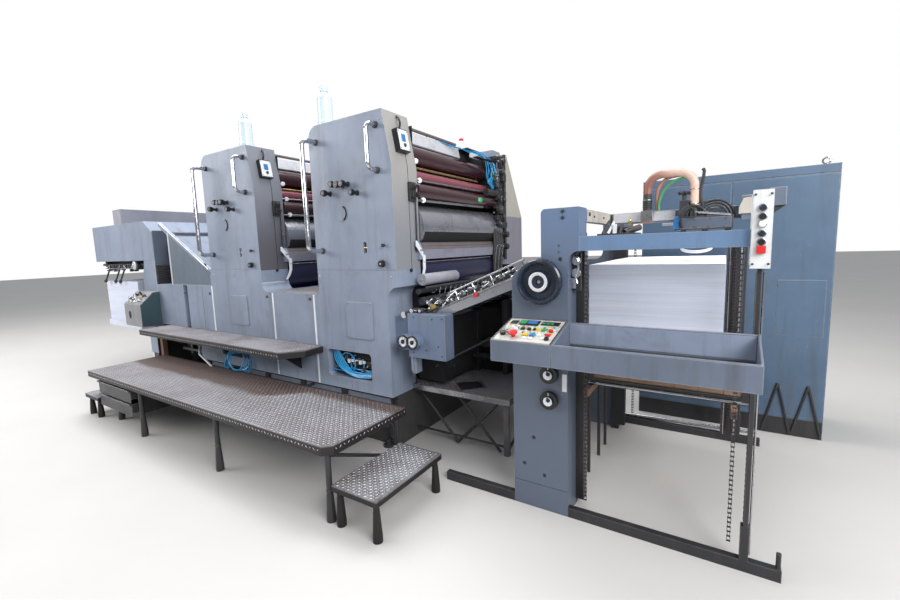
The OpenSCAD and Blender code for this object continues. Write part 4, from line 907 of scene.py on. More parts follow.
# Black boxes, black turned parts and bright turned parts at the rollers' far ends, as
# distance from the unit's right face, y and z, with their sizes
FAR_BOXES = ((12, 1298, 1590, 20, 46, 175), (30, 1386, 1130, 14, 30, 860),
             (0.5, 1386, 1150, 30, 22, 830), (-10, 1288, 1636, 40, 92, 66),
             (-30, 1180, 1925, 30, 160, 10), (20, 1240, 1455, 30, 140, 40),
             (34, 1268, 1506, 26, 110, 50), (40, 1300, 1395, 24, 90, 46),
             (-50, 1040, 1925, 40, 130, 8), (30, 1330, 1770, 30, 60, 60))
FAR_DRUMS = ((12, 1120, 1668, 0, 1, 28, 170), (36, 1330, 1840, 1, 0, 26, 30),
             (40, 1352, 1930, 1, 0, 22, 26), (36, 1270, 1540, 1, 0, 24, 30),
             (44, 1330, 1480, 1, 0, 20, 26), (40, 1260, 1430, 1, 0, 22, 24),
             (44, 1350, 1620, 1, 0, 20, 24), (30, 1390, 1340, 1, 0, 24, 40),
             (30, 1390, 1240, 1, 0, 24, 40))
FAR_BRIGHT = ((70, 1330, 1840, 12, 8), (66, 1270, 1540, 10, 10), (70, 1330, 1480, 9, 10),
              (64, 1260, 1430, 9, 8), (68, 1350, 1620, 9, 8), (40, 1310, 1700, 8, 12),
              (34, 1200, 1512, 8, 8), (52, 1300, 1424, 7, 8), (62, 1296, 1556, 8, 10))


def far_mechanism(tag, u0):
    """Brackets, drums, springs and air pipes at the drive-side end of a unit's rollers."""
    right = u0 + UNIT_W
    black = Piece(tag + "_far_brackets", "black_metal")
    for x, y, z, a, b, c in FAR_BOXES:
        black.box(right + x, right + x + a, y, y + b, z, z + c)
    for x, y, z, a, b, r, h in FAR_DRUMS:
        black.lathe((right + x, y, z), (a, b, 0), [(r, 0), (r, h), (r * 0.8, h + 4)], 18)
    for x, z in ((534, 1844), (588, 1707), (645, 1601)):
        black.lathe((u0 + x, 1290, z), Y, [(40, 0), (40, 86), (15, 86), (15, 0)], 20)
    for k in range(14):
        y = rng.uniform(1240, 1390)
        z = rng.uniform(1400, 1960)
        black.box(right + 14, right + rng.uniform(30, 60), y, y + rng.uniform(14, 34),
                  z, z + rng.uniform(12, 50))
        black.rod((right + 24, y, z), (right + 24, 1384, z + rng.uniform(-30, 30)), 5, 8)
    black.done(1.0)
    bright = Piece(tag + "_far_fittings", "steel")
    for x, y, z, r, h in FAR_BRIGHT:
        bright.lathe((right + x, y, z), X, [(r, 0), (r, h), (r * 0.7, h + 2)], 14)
    for y, z in ((1262, 1720), (1330, 1555), (1296, 1350)):
        coil = []
        for k in range(57):
            a = 2 * math.pi * k / 8
            coil.append((right + 42 + 9 * math.cos(a), y + 9 * math.sin(a), z + k * 1.6))
        bright.tube(coil, 1.8, 6)
    for k in range(3):
        y = 1189 + 60 * k
        bright.hose([(right + 40, y, 1040), (right + 42, y + 14, 1150), (right + 44, y + 44, 1246),
                     (right + 44, y + 110, 1252), (right + 44, 1386, 1226)], 3, 8)
    bright.done()
    gear = Piece(tag + "_far_gear", "brass")
    gear.lathe((right + 6, 1262, 1790), Y, [(26, 0), (26, 14), (14, 14), (14, 34)], 28)
    gear.done()

    pipes = Piece(tag + "_air_pipes", "hose_blue")
    for k in range(7):
        w = rng.uniform(-14, 14)
        pipes.hose([(u0 + 520 + 3 * k, 690 + 36 * k, 2006 - 2 * k), (u0 + 560, 930 + 12 * k, 1990),
                    (u0 + 600 + 2 * k, 1117 + 10 * k, 1984 - 14 * (k % 3)),
                    (u0 + 640 + 3 * k, 1190 + 20 * k, 1948 - 8 * (k % 4)),
                    (u0 + 664 + 2 * k, 1180 + 24 * k + w, 1866),
                    (u0 + 668 + 3 * k, 1184 + 23 * k - w, 1790),
                    (u0 + 672, 1220 + 18 * k, 1740 - 12 * (k % 4))], 3.6, 8)
    for k in range(3):
        pipes.hose([(u0 + 676, 1250 + 20 * k, 1800), (u0 + 690, 1180, 1770 - 14 * k),
                    (u0 + 694, 1150 + 20 * k, 1742), (u0 + 690, 1230, 1722 - 10 * k),
                    (u0 + 684, 1310, 1760)], 4.2, 8)
    pipes.done()
    cables = Piece(tag + "_black_hoses", "black_rubber")
    for k in range(7):
        cables.hose([(right + 24 + 6 * (k % 2), 1216 + 24 * k, 1392 - 10 * k),
                     (right + 34, 1200 + 25 * k, 1270), (right + 30, 1196 + 24 * k, 1150),
                     (right + 20, 1210 + 22 * k, 1010)], 10, 10)
    cables.done()
    lamps = Piece(tag + "_far_lamps", "green_plastic")
    lamps.lathe((u0 + 700, 1000, 1597), Vector((0.8, -0.6, 0.1)), [(20, 0), (20, 5), (15, 7)], 18)
    lamps.lathe((right + 26, 1262, 1810), X, [(8, 0), (8, 5), (6, 7)], 14)
    lamps.done()
    stay = Piece(tag + "_lamp_stay", "black_metal")
    stay.rod((u0 + 698, 1000, 1597), (u0 + 702, 1384, 1580), 5, 10)
    stay.done()
    red = Piece(tag + "_oil_cap", "red_plastic")
    red.lathe((u0 + 530, 1032, 2060), Z, [(16, 0), (18, 12), (14, 20), (6, 24)], 18)
    red.done()
    tank = Piece(tag + "_oil_cup", "white_plastic")
    tank.lathe((u0 + 530, 1032, 1998), Z, [(24, 0), (24, 50), (16, 62)], 22)
    tank.lathe((u0 + 530, 1100, 1998), Z, [(26, 0), (26, 30), (20, 38), (9, 40)], 22)
    for k in range(6):
        tank.box(u0 + 592, u0 + 612, 1046 + 22 * k, 1056 + 22 * k, 1933, 1966)
    tank.done()
    face = Piece(tag + "_drive_face", "cover_cream")
    high = on_slant(u0, 30, 0.2)
    face.prism([(right + 0.2, 1142), (right + 1.4, 1142), (right + 1.4, 1727),
                (high[0] + 1.2, high[1]), high, (right + 0.2, 1727)], "y", 1426, 1515.8)
    face.done()
    rail = Piece(tag + "_pipe_rail", "black_metal")
    rail.box(u0 + 432, u0 + 520, 880, 1340, 1990, 1997)
    rail.box(u0 + 520, u0 + 600, 1000, 1200, 1990, 1998)
    for y in (900, 1000, 1140, 1320):
        rail.box(u0 + 448, u0 + 512, y, y + 12, 1997, 2012)
    rail.done(0.8)


far_mechanism("unit_1", UNIT_1)
far_mechanism("unit_2", UNIT_2)


# Infeed

FEED_X0, _, _, _, FEED_Z0, _ = cad("feed_board")
FEED_TOP = 1122.0
FEED_LOW = 866.0


def feed_z(x):
    """Top of the feed board's side rail."""
    return FEED_LOW + (x - FEED_X0) * (FEED_TOP - FEED_LOW) / (0 - FEED_X0)


def infeed():
    slope = Vector((660, 0, FEED_TOP - FEED_LOW)).normalized()
    lift = Vector((-slope.z, 0, slope.x))

    def along(x, y, up):
        return Vector((x, y, feed_z(x))) + lift * up

    rods = Piece("feed_rail_rods", "steel")
    rods.rod(along(-470, 120, 56), along(-16, 120, 62), 6, 12)
    rods.rod(along(-650, 106, -8), along(-16, 106, -8), 4, 10)
    for x in (-440, -330, -215, -110, -30):
        rods.rod(along(x, 121, 0), along(x, 121, 58), 5, 10)
    rods.done()
    # Sheet guides, wheels and catches along the near rail
    black = Piece("feed_catches_black", "black_metal")
    bright = Piece("feed_catches_bright", "steel")
    x = -640.0
    k = 0
    while x < -60:
        w = rng.uniform(20, 34)
        h = rng.uniform(12, 34)
        y = 112 + rng.uniform(-4, 14)
        a = along(x, y, 0)
        black.box(a.x, a.x + w, y, y + 30, a.z - 8, a.z + h)
        b = along(x + w / 2, y - 4, h - 6)
        if k % 2 == 0:
            bright.lathe(b, -Y, [(10, 0), (10, 7), (7, 9)], 16)
        else:
            bright.hose([b, b + Vector((6, -14, 12)), b + Vector((22, -16, 18)),
                         b + Vector((30, -4, 6))], 4, 8)
        if k % 3 == 0:
            bright.rod(b + lift * 4, b + lift * 4 + slope * 42, 3.5, 8)
        x += w + rng.uniform(6, 16)
        k += 1
    white = Piece("feed_fittings", "steel")
    for k in range(90):
        x = -655 + 590 * (k / 90) ** 1.25
        a = along(x, 100 + rng.uniform(-4, 40), rng.uniform(-4, 34 + 26 * (x < -430)))
        w, h = rng.uniform(5, 16), rng.uniform(6, 18)
        (black, white, bright)[k % 3].box(a.x, a.x + w, a.y, a.y + rng.uniform(8, 24), a.z, a.z + h)
        if k % 5 == 0:
            bright.rod(a, a + slope * rng.uniform(20, 50) + lift * rng.uniform(0, 20), 3, 8)
    white.done(0.8)
    for x in (-600, -470, -340, -210, -100):
        for y in (300, 520, 740, 960):
            a = along(x, y, -22)
            bright.lathe(a - Y * 6, Y, [(14, 0), (14, 12)], 18)
            black.box(a.x - 4, a.x + 36, y + 7, y + 12, a.z - 6, a.z + 5)
    black.done(0.8)
    bright.done()
    gears = Piece("feed_gear", "brass")
    a = along(-598, 96, 8)
    gears.lathe(a, Y, [(24, 0), (24, 10), (12, 10), (12, 18)], 24)
    for k in range(18):
        t = 2 * math.pi * k / 18
        gears.box(a.x + 24 * math.cos(t) - 2, a.x + 24 * math.cos(t) + 2, 97, 105,
                  a.z + 24 * math.sin(t) - 2, a.z + 24 * math.sin(t) + 2)
    gears.done()
    red = Piece("feed_red_knob", "red_plastic")
    red.lathe(along(-322, 104, -14), -Y, [(13, 0), (13, 8), (9, 11)], 18)
    red.done()
    belts = Piece("feed_tapes", "paper")
    for y in (250, 420, 590, 760, 930, 1080):
        a, b = along(-655, y, -38), along(-6, y, -38)
        belts.prism([(a.x, a.z), (b.x, b.z), (b.x, b.z + 1.6), (a.x, a.z + 1.6)], "y", y, y + 34)
    belts.done()

    # Side box: screws, gauge faces, the hand roller above it, its lower arm
    x0, x1, y0, y1, z0, z1 = -733, -473, 20, 110, 610, 870
    screws = Piece("side_box_screws", "black_metal")
    for x, z in ((-700, 640), (-500, 636), (-492, 850), (-690, 850), (-520, 690), (-560, 845),
                 (-606, 662)):
        screws.screw((x, y0, z), -Y, 5, 2.5)
    screws.done()
    face = Piece("gauge_faces", "white_plastic")
    bezel = Piece("gauge_bezels", "black_plastic")
    hands = Piece("gauge_hands", "black_plastic")
    for x in (-735, -668):
        face.lathe((x, -30, 712), -Y, [(29, 0), (29, 1)], 28)
        hands.lathe((x, -30.5, 712), -Y, [(13, 0), (13, 5), (10, 7)], 20)
        bezel.lathe((x, -29, 712), -Y, [(40.4, 0), (40.4, 7), (36, 9), (33, 6), (33, 0)], 28)
        for k in range(9):
            a = math.radians(225 - 33.75 * k)
            hands.box(x + 26 * math.cos(a) - 1, x + 26 * math.cos(a) + 1, -32, -31,
                      712 + 26 * math.sin(a) - 3, 712 + 26 * math.sin(a) + 3)
        hands.rod((x - 6, -32.5, 706), (x + 18, -32.5, 728), 1.3, 6)
    face.done()
    bezel.done()
    hands.done()
    roller = Piece("infeed_hand_roller", "chrome")
    roller.lathe((-770, 30, 858), Y, [(20, 0), (20, 60), (10, 60), (10, 90)], 22)
    roller.lathe((-716, 34, 884), Y, [(13, 0), (13, 70)], 18)
    roller.lathe((-660, 40, 886), Y, [(9, 0), (9, 60)], 14)
    roller.rod((-790, 60, 858), (-690, 60, 884), 7, 12)
    roller.done()
    links = Piece("infeed_links", "black_metal")
    links.box(-800, -690, 66, 84, 842, 872)
    links.box(-716, -650, 60, 78, 868, 898)
    links.lathe((-742, 26, 866), Y, [(16, 0), (16, 30)], 18)
    links.rod((-640, 70, 870), (-560, 96, 905), 6, 10)
    links.done(1.0)
    arm = Piece("side_box_arm", "press_grey")
    arm.box(-728, -700, 40, 100, 505, 612)
    arm.box(-728, -716, 30, 40, 520, 640)
    arm.done(1.5)

    # Roller and wheels below the finger guard, over the feed board's low end
    white = Piece("infeed_front_roller", "drive_grey")
    white.lathe((-714, 150, 1058), Y, [(8, -8), (8, 0), (34, 0), (36, 3), (36, 378), (34, 381),
                                       (8, 381), (8, 393)], 26)
    white.done()
    dark = Piece("infeed_bars", "black_metal")
    dark.rod((-740, 140, 985), (-740, 1370, 985), 17, 18)
    dark.rod((-706, 140, 940), (-706, 1370, 940), 14, 18)
    dark.rod((-676, 140, 1010), (-676, 1000, 1010), 9, 14)
    dark.box(-784, -662, 1364, 1372, 926, 1092)
    dark.done()
    wheels = Piece("infeed_wheels", "steel")
    for y in range(300, 1340, 62):
        wheels.lathe((-740, y, 985), Y, [(24, 0), (24, 7)], 18)
        wheels.rod((-706, y + 20, 954), (-694, y + 20, 1002), 3, 8)
    wheels.done()

    # Black boxes below the feed board and the low deck: painted shade over the works there
    shade_boxes = Piece("infeed_shade_boxes", "dark")
    shade_boxes.box(-838, -300, 700, 1190, 340.5, 820)
    shade_boxes.box(-838, -640, 250, 700, 400, 800)
    shade_boxes.box(-300, -20, 900, 1180, 400, 900)
    shade_boxes.done()
    frame_in = Piece("infeed_frame_parts", "black_metal")
    for x in (-640, -420, -200):
        frame_in.box(x, x + 30, 640, 700, 376, feed_z(x) - 72)
    frame_in.box(-700, -20, 620, 640, 560, 600)
    frame_in.rod((-620, 600, 500), (-40, 600, 500), 18, 16)
    frame_in.rod((-760, 300, 610), (-520, 180, 540), 7, 10)
    frame_in.rod((-700, 240, 500), (-470, 560, 640), 8, 10)
    frame_in.done(1.0)
    braces = Piece("infeed_deck_braces", "black_metal")
    braces.rod((-860, 262, 335), (-560, 262, 20), 9, 12)
    braces.rod((-560, 262, 335), (-260, 262, 20), 9, 12)
    braces.rod((-560, 262, 20), (-260, 262, 335), 9, 12)
    braces.rod((-225, 275, 20), (-225, 1040, 330), 9, 12)
    braces.rod((-900, 262, 60), (-240, 262, 60), 7, 10)
    braces.done()
    nose = Piece("infeed_deck_nosing", "steel")
    x0, x1, y0, y1, z0, z1 = cad("infeed_deck")
    nose.box(-853, x1, 198.6, 199.8, z1 - 35, z1 - 1)
    nose.done(0.4)
    # Black square on the deck inside the rim: painted shade of the hole
    hatch = Piece("infeed_hole_shade", "dark")
    hatch.turn = Matrix.Translation((-500, 335, 0)) @ Matrix.Rotation(math.pi / 4, 4, "Z")
    hatch.box(-68, 68, -68, 68, z1 - 0.5, z1 + 0.7)
    hatch.done()
    rim = Piece("infeed_hatch_rim", "steel")
    for a in range(4):
        t0, t1 = math.radians(90 * a), math.radians(90 * a + 90)
        rim.rod((-500 + 98 * math.cos(t0), 335 + 98 * math.sin(t0), z1 + 0.8),
                (-500 + 98 * math.cos(t1), 335 + 98 * math.sin(t1), z1 + 0.8), 2, 6)
    rim.done()


infeed()


# Feeder

def feeder():
    face_y = -119.0
    plugs = Piece("column_bolts", "black_metal")
    for x, z in ((100, 348), (151, 172), (228, 1180), (52, 210)):
        plugs.lathe((x, face_y + 7, z), -Y, [(8, 0), (8, 4), (5, 5)], 16)
    for x, z in ((250, 1382), (250, 1356)):
        plugs.screw((x - 10, face_y, z), -Y, 8, 4, 16)
    plugs.screw((223, face_y, 1238), -Y, 4.5, 2)
    plugs.screw((223, face_y, 1212), -Y, 4.5, 2)
    plugs.done()
    blank = Piece("column_plates", "silver")
    blank.box(236, 257, face_y - 1.2, face_y, 592, 672)
    blank.done(0.3)

    ring = Piece("handwheel_ring", "silver", "handwheel")
    ring.lathe((144, face_y - 46, 1084), -Y, [(29, 0), (29, 1.4), (31, 2.4), (41, 2.4), (43, 1.4),
                                              (43, 0)], 40)
    ring.lathe((144, face_y - 24, 1084), -Y, [(22, 0), (22, 2), (19, 3), (9, 3), (9, 9), (7, 10)],
               24)
    ring.done()
    rim = Piece("handwheel_grip", "wheel_black", "handwheel")
    for k in range(36):
        a = 2 * math.pi * k / 36
        x, z = 144 + 99.2 * math.cos(a), 1084 + 99.2 * math.sin(a)
        rim.rod((x, face_y - 18, z), (x, face_y - 40, z), 2.6, 8)
    rim.ring((144, face_y - 46, 1084), Y, 90, 2.0, 48, 8)
    rim.done()
    for body, z in (("upper_dial", 667), ("lower_dial", 547)):
        mark = Piece(body + "_mark", "white_plastic", body)
        mark.lathe((181, face_y - 36, z), -Y, [(20.5, 0), (20.5, 0.8)], 28)
        mark.box(179.6, 182.4, face_y - 29.2, face_y - 28.2, z + 24, z + 38)
        mark.done()
        knurl = Piece(body + "_knurl", "black_plastic", body)
        knurl.lathe((184, face_y - 36.6, z + 7), -Y, [(9, 0), (9, 4), (7, 6)], 18)
        knurl.rod((184, face_y - 37.4, z + 7), (178, face_y - 37.4, z + 19), 3, 8)
        for k in range(24):
            a = 2 * math.pi * k / 24
            x, zz = 181 + 39.4 * math.cos(a), z + 39.4 * math.sin(a)
            knurl.rod((x, face_y - 8, zz), (x, face_y - 26, zz), 2.2, 6)
        knurl.done()

    # Control panel: pale face in a frame, display, keys, lamps and switches
    low, high = Vector((0, -340, 850)), Vector((0, face_y, 908))
    reach = (high - low).length
    v_way = (high - low) / reach
    n_way = Vector((0, -v_way.z, v_way.y))
    turn = Matrix((X, v_way, n_way)).transposed().to_4x4()
    turn.translation = low

    def panel_piece(name, mat):
        piece = Piece(name, mat)
        piece.turn = turn
        return piece

    pale = panel_piece("control_panel_face", "panel_cream")
    pale.box(4, 254, 8, reach - 6, 0.2, 3)
    pale.done(0.8)
    edge = panel_piece("control_panel_frame", "steel")
    for x0, x1, v0, v1 in ((-2, 260, 0.5, 5), (-2, 260, reach - 5, reach - 1),
                           (-2, 2, 0.5, reach - 1), (256, 260, 0.5, reach - 1)):
        edge.box(x0, x1, v0, v1, 0.1, 5)
    edge.done(0.8)
    screen = panel_piece("control_panel_display", "black_plastic")
    screen.box(60, 150, 160, 205, 3, 8)
    screen.box(16, 50, 166, 200, 3, 6)
    screen.box(160, 240, 170, 204, 3, 6)
    screen.lathe((30, 60, 3), Z, [(13, 0), (13, 12), (10, 14)], 18)
    screen.lathe((232, 40, 3), Z, [(10, 0), (10, 10)], 18)
    for x in (90, 118, 146):
        screen.box(x, x + 16, 112, 128, 3, 10)
    screen.done(1.0)
    green = panel_piece("control_panel_green", "green_plastic")
    green.box(64, 92, 166, 200, 8, 9.4)
    for x in (166, 184, 202):
        green.box(x, x + 12, 176, 188, 6, 9)
    green.lathe((196, 120, 3), Z, [(9, 0), (9, 9)], 18)
    green.done(0.6)
    red = panel_piece("control_panel_red", "red_plastic")
    red.lathe((84, 46, 3), Z, [(9, 0), (9, 12), (19, 14), (19, 22), (12, 27)], 26)
    red.lathe((226, 112, 3), Z, [(10, 0), (10, 10)], 18)
    red.box(216, 236, 68, 84, 3, 10)
    red.done(0.5)
    yellow = panel_piece("control_panel_yellow", "yellow_plastic")
    yellow.box(118, 140, 56, 76, 3, 11)
    yellow.lathe((168, 120, 3), Z, [(9, 0), (9, 9)], 18)
    yellow.done(1.0)
    blue = panel_piece("control_panel_blue", "blue_plastic")
    blue.box(150, 172, 56, 76, 3, 11)
    blue.box(98, 142, 170, 198, 8, 9)
    blue.done(1.0)
    white = panel_piece("control_panel_white", "white_plastic")
    for x, v in ((182, 64), (60, 110), (40, 124), (250 - 44, 36), (128, 30), (154, 30)):
        white.box(x, x + 15, v, v + 14, 3, 9)
    white.done(1.0)
    keys = (("small_keys_dark", "black_plastic"), ("small_keys_white", "white_plastic"),
            ("small_keys_green", "green_plastic"), ("small_keys_yellow", "yellow_plastic"))
    for row, (name, mat_name) in enumerate(keys):
        small = panel_piece("control_panel_" + name, mat_name)
        for k in range(10):
            x, v = 20 + 23 * k + rng.uniform(-4, 4), 82 + 20 * ((k + row) % 4) + 3 * row
            small.box(x, x + rng.uniform(6, 11), v, v + rng.uniform(5, 9), 3, rng.uniform(4, 8))
        small.done(0.6)
    pink = panel_piece("control_panel_switches", "bracket_beige")
    for x, v in ((24, 96), (46, 84)):
        pink.lathe((x, v, 3), Z, [(11, 0), (11, 8), (8, 10)], 18)
        pink.box(x - 2.5, x + 2.5, v - 9, v + 9, 13, 19)
    pink.done(0.5)

    # Tool tray: rolled edge, a worn inner mat, and a paler skin on its back wall as painted light
    x0, x1, y0, y1, z0, z1 = cad("tool_tray")
    lip = Piece("tray_rolled_edge", "feeder_grey")
    lip.rod((x0 + 4, y0 + 4, 850.5), (x1 - 4, y0 + 4, 850.5), 4, 12)
    lip.rod((x1 - 4, y0 + 4, 850.5), (x1 - 4, y1 - 4, 907.5), 4, 12)
    lip.done()
    mat = Piece("tray_mat", "black_rubber")
    mat.prism([(y0 + 12, 771.5), (y1 - 12, 808.5), (y1 - 12, 811), (y0 + 12, 774)], "x",
              x0 + 12, x1 - 12)
    mat.done()
    # Paler skin on the tray's back wall: painted light, a lit copy of the tray's grey
    liner = Piece("tray_back_lit_skin", "tray_lit_grey")
    liner.box(x0 + 10, x1 - 10, y1 - 8.8, y1 - 8.1, 816, 902)
    liner.done()
    strap = Piece("tray_brackets", "black_metal")
    for x in (x0 + 60, x1 - 90):
        strap.prism([(y1, 700), (y1, 796), (y0 + 60, 768)], "x", x, x + 8)
    strap.done(0.6)

    # Button box: buttons from the top, their bezels, screws, cable box
    bx0, bx1, by0, by1, bz0, bz1 = cad("button_box")
    mid = (bx0 + bx1) / 2
    front = face_y - 25
    colours = (("button_blue", "wheel_black", (1343, 1257)),
               ("button_black", "black_plastic", (1314, 1229)),
               ("button_white", "white_plastic", (1289,)))
    for name, mat_name, heights in colours:
        button = Piece(name, mat_name)
        for z in heights:
            button.lathe((mid, front, z), -Y, [(10.5, 0), (10.5, 5), (8.5, 7)], 22)
        button.done()
    stop = Piece("button_red", "red_plastic")
    stop.box(mid - 13, mid + 13, front - 9, front + 4, 1190, 1216)
    stop.done(2.0)
    bezels = Piece("button_bezels", "steel")
    for z in (1343, 1314, 1289, 1257, 1229):
        bezels.lathe((mid, front + 1, z), -Y, [(11, 0), (13.2, 0), (13.2, 2.5), (11, 3.4)], 24)
    bezels.done()
    screws = Piece("button_box_screws", "black_metal")
    for x in (bx0 + 7, bx1 - 7):
        for z in (bz0 + 16, bz1 - 16):
            screws.screw((x, by0, z), -Y, 4.2, 2.5)
    screws.done()
    cable_box = Piece("button_cable_box", "feeder_grey")
    cable_box.box(bx1 - 8, bx1 + 40, -60, 30, 1352, 1414)
    cable_box.done(2.5)
    wedge = Piece("button_cable_gland", "black_rubber")
    wedge.prism([(bx1 - 6, 1351), (bx1 + 38, 1351), (bx1 - 6, 1318)], "y", -50, 20)
    wedge.done(0.8)

    # Head: aluminium strips on the bar, cross plate, bracket, hoses
    strip = Piece("suction_bar_strips", "silver")
    strip.box(310, 879, 468, 522, 1390.2, 1393)
    strip.box(310, 612, 466.4, 469.6, 1344, 1389)
    strip.done(0.8)
    plate = Piece("cross_plate_face", "bracket_beige")
    plate.box(307.2, 309.4, 6, 466, 1338, 1392)
    plate.done(0.6)
    bolts = Piece("cross_plate_bolts", "black_metal")
    for y, z, r in ((36, 1372, 9), (120, 1365, 5), (300, 1365, 5), (440, 1362, 7)):
        bolts.lathe((309.4, y, z), X, [(r, 0), (r, 4), (r - 2, 5)], 16)
    bolts.box(309, 322, 448, 466, 1336, 1388)
    bolts.done()
    beige = Piece("suction_bar_bracket", "bracket_beige")
    beige.prism([(868, 1352), (868, 1380), (884, 1420), (978, 1432), (982, 1352)], "y", 404, 408)
    beige.box(878, 982, 408, 523, 1430.4, 1433)
    beige.done(1.0)
    clutter = Piece("feeder_valves", "black_metal")
    lights = Piece("feeder_valve_caps", "white_plastic")
    clutter.box(309, 480, 176, 330, 1278, 1286)
    clutter.rod((330, 200, 1286), (352, 236, 1346), 7, 10)
    clutter.rod((420, 240, 1290), (478, 300, 1312), 15, 14)
    clutter.rod((404, 216, 1286), (412, 232, 1332), 6, 10)
    lights.rod((352, 206, 1286), (374, 236, 1340), 6, 10)
    lights.box(372, 388, 210, 232, 1286, 1330)
    clutter.done(0.8)
    lights.done(0.8)
    gold = Piece("feeder_valve_brass", "brass")
    gold.lathe((440, 260, 1310), Z, [(6, 0), (6, 30), (9, 30), (9, 38), (5, 44)], 10)
    gold.done()
    sleeve = Piece("suction_hose_sleeve", "black_rubber")
    sleeve.lathe((489, 435, 1400), Z, [(19.6, 0), (19.6, 74), (19.2, 75)], 26)
    sleeve.done()
    clip = Piece("suction_clip_cover", "steel")
    clip.box(462.4, 515.6, 408.4, 469, 1343, 1393.5)
    clip.done(1.0)
    cast = Piece("suction_head_casting", "panel_dark")
    cast.box(614 + 6, 850 - 6, 400 - 1.2, 400, 1290 + 6, 1352 - 6)
    cast.box(614 + 6, 850 - 6, 400 + 6, 462, 1352 - 0.4, 1352 + 1)
    cast.done(0.5)

    head = Piece("suction_head_fittings", "blue_plastic")
    head.box(610, 640, 392, 420, 1296, 1346)
    head.lathe((625, 396, 1346), Z, [(9, 0), (9, 10)], 12)
    head.done(2.0)
    star = Piece("suction_star_knob", "black_plastic")
    for k in range(5):
        a = 2 * math.pi * k / 5
        star.ball((650 + 22 * math.cos(a), 435 + 22 * math.sin(a), 1466), 9, 6, 10)
    star.done()
    detail = Piece("suction_head_screws", "steel")
    for x in (640, 700, 760, 820):
        for z in (1304, 1338):
            detail.screw((x, 400, z), -Y, 5, 4, 6)
    detail.rod((700, 402, 1372), (840, 402, 1352), 5, 10)
    detail.rod((560, 420, 1322), (614, 420, 1322), 6, 12)
    detail.lathe((784, 464, 1420), X, [(10.6, 0), (10.6, 3)], 14)
    detail.done()
    green = Piece("suction_hose_green", "hose_green")
    green.hose([(541, 440, 1393), (541, 440, 1430), (562, 440, 1488), (600, 440, 1524),
                (640, 440, 1538), (672, 442, 1530), (690, 450, 1502)], 6, 10)
    green.done()
    thin = Piece("suction_hose_thin", "hose_brown")
    thin.hose([(530, 450, 1393), (530, 450, 1470), (542, 450, 1512), (570, 450, 1542),
               (610, 450, 1552), (650, 452, 1552), (684, 458, 1530)], 8, 10)
    thin.done()
    dark = Piece("suction_hose_dark", "black_rubber")
    dark.hose([(722, 440, 1572), (728, 440, 1560), (724, 440, 1520), (716, 438, 1480),
               (718, 436, 1440), (728, 432, 1400), (742, 428, 1352)], 7, 10)
    for k in range(6):
        dark.ring((489, 435, 1394 + 9 * k), Z, 19.5, 3.2, 24, 8)
    for k in range(4):
        dark.hose([(640 + 4 * k, 396 - 6 * k, 1300), (636 + 3 * k, 384 - 7 * k, 1330 + 3 * k),
                   (656, 378 - 7 * k, 1366 + 3 * k), (690, 380 - 7 * k, 1380 + 3 * k),
                   (706 - 2 * k, 388 - 4 * k, 1352)], 2.6, 8)
    dark.done()
    collar = Piece("suction_hose_collars", "steel")
    collar.ring((489, 435, 1446), Z, 19.6, 2.4, 24, 8)
    collar.ring((692, 435, 1412), Z, 19.6, 2.4, 24, 8)
    collar.ring((692, 435, 1480), Z, 19.6, 2.0, 24, 8)
    collar.done()
    coil = Piece("suction_hose_coil", "white_plastic")
    tilt = Vector((0, -0.31, 0.95))
    for k in range(2):
        coil.ring(Vector((707, 440, 1204 + 7 * k)), tilt, 64, 3.6, 40, 8)
    coil.rod((707, 466, 1218), (707, 466, 1290), 3.6, 8)
    coil.done()

    # Lifting chains as rows of links
    chains = Piece("pile_chain_links", "chain_dark")
    cx0, cx1, cy0, cy1, cz0, cz1 = cad("pile_chains")
    pitch = 19.05
    for x, y in ((cx0 + 7, cy0 + 6), (cx0 + 7, cy1 - 6), (cx1 - 7, cy0 + 6), (cx1 - 7, cy1 - 6)):
        count = int((cz1 - cz0 - 4) / pitch)
        for k in range(count):
            z = cz0 + 4 + k * pitch
            w = 3.4 if k % 2 else 5.6
            for s in (-1, 1):
                a = x + s * w - 0.8
                outline = [(y - 3.2, z + 2), (y - 5, z - 1), (y - 3, z - 3.5), (y + 3, z - 3.5),
                           (y + 5, z - 1), (y + 3.2, z + 2), (y + 3.2, z + pitch - 2),
                           (y + 5, z + pitch + 1), (y + 3, z + pitch + 3.5),
                           (y - 3, z + pitch + 3.5), (y - 5, z + pitch + 1),
                           (y - 3.2, z + pitch - 2)]
                chains.prism(outline, "x", a, a + 1.6)
            chains.rod((x - 6.6, y, z), (x + 6.6, y, z), 3.4, 8)
    chains.done(replaces=["pile_chains"])
    guide = Piece("guide_chain", "black_metal")
    for k in range(48):
        z = 90 + k * 21.5
        for s in (-1, 1):
            guide.box(924 + s * 4 - 1, 924 + s * 4 + 1, -90, -80, z, z + 18)
        guide.rod((918, -85, z + 19), (930, -85, z + 19), 4.2, 8)
    guide.done()
    slim = Piece("guide_rods", "steel")
    slim.rod((942, -92, 60), (942, -92, 1138), 3.5, 10)
    slim.rod((850, 1094, 46), (850, 1094, 1212), 5, 10)
    slim.rod((906, 1094, 46), (906, 1094, 1212), 5, 10)
    slim.rod((300, 6, 1100), (300, 6, 1290), 4, 10)
    slim.rod((264, 1128, 52), (1014, 1118, 78), 11, 14)
    slim.done()
    channel = Piece("far_guide_channel", "black_metal")
    channel.box(836, 916, 1101, 1118, 46, 1212)
    channel.box(836, 844, 1086, 1101, 46, 1212)
    channel.done(1.0)
    sprockets = Piece("chain_sprockets", "chrome")
    for z in (1172, 1118):
        sprockets.lathe((284, -70, z), -Y, [(20, 0), (20, 8), (9, 8), (9, 16)], 22)
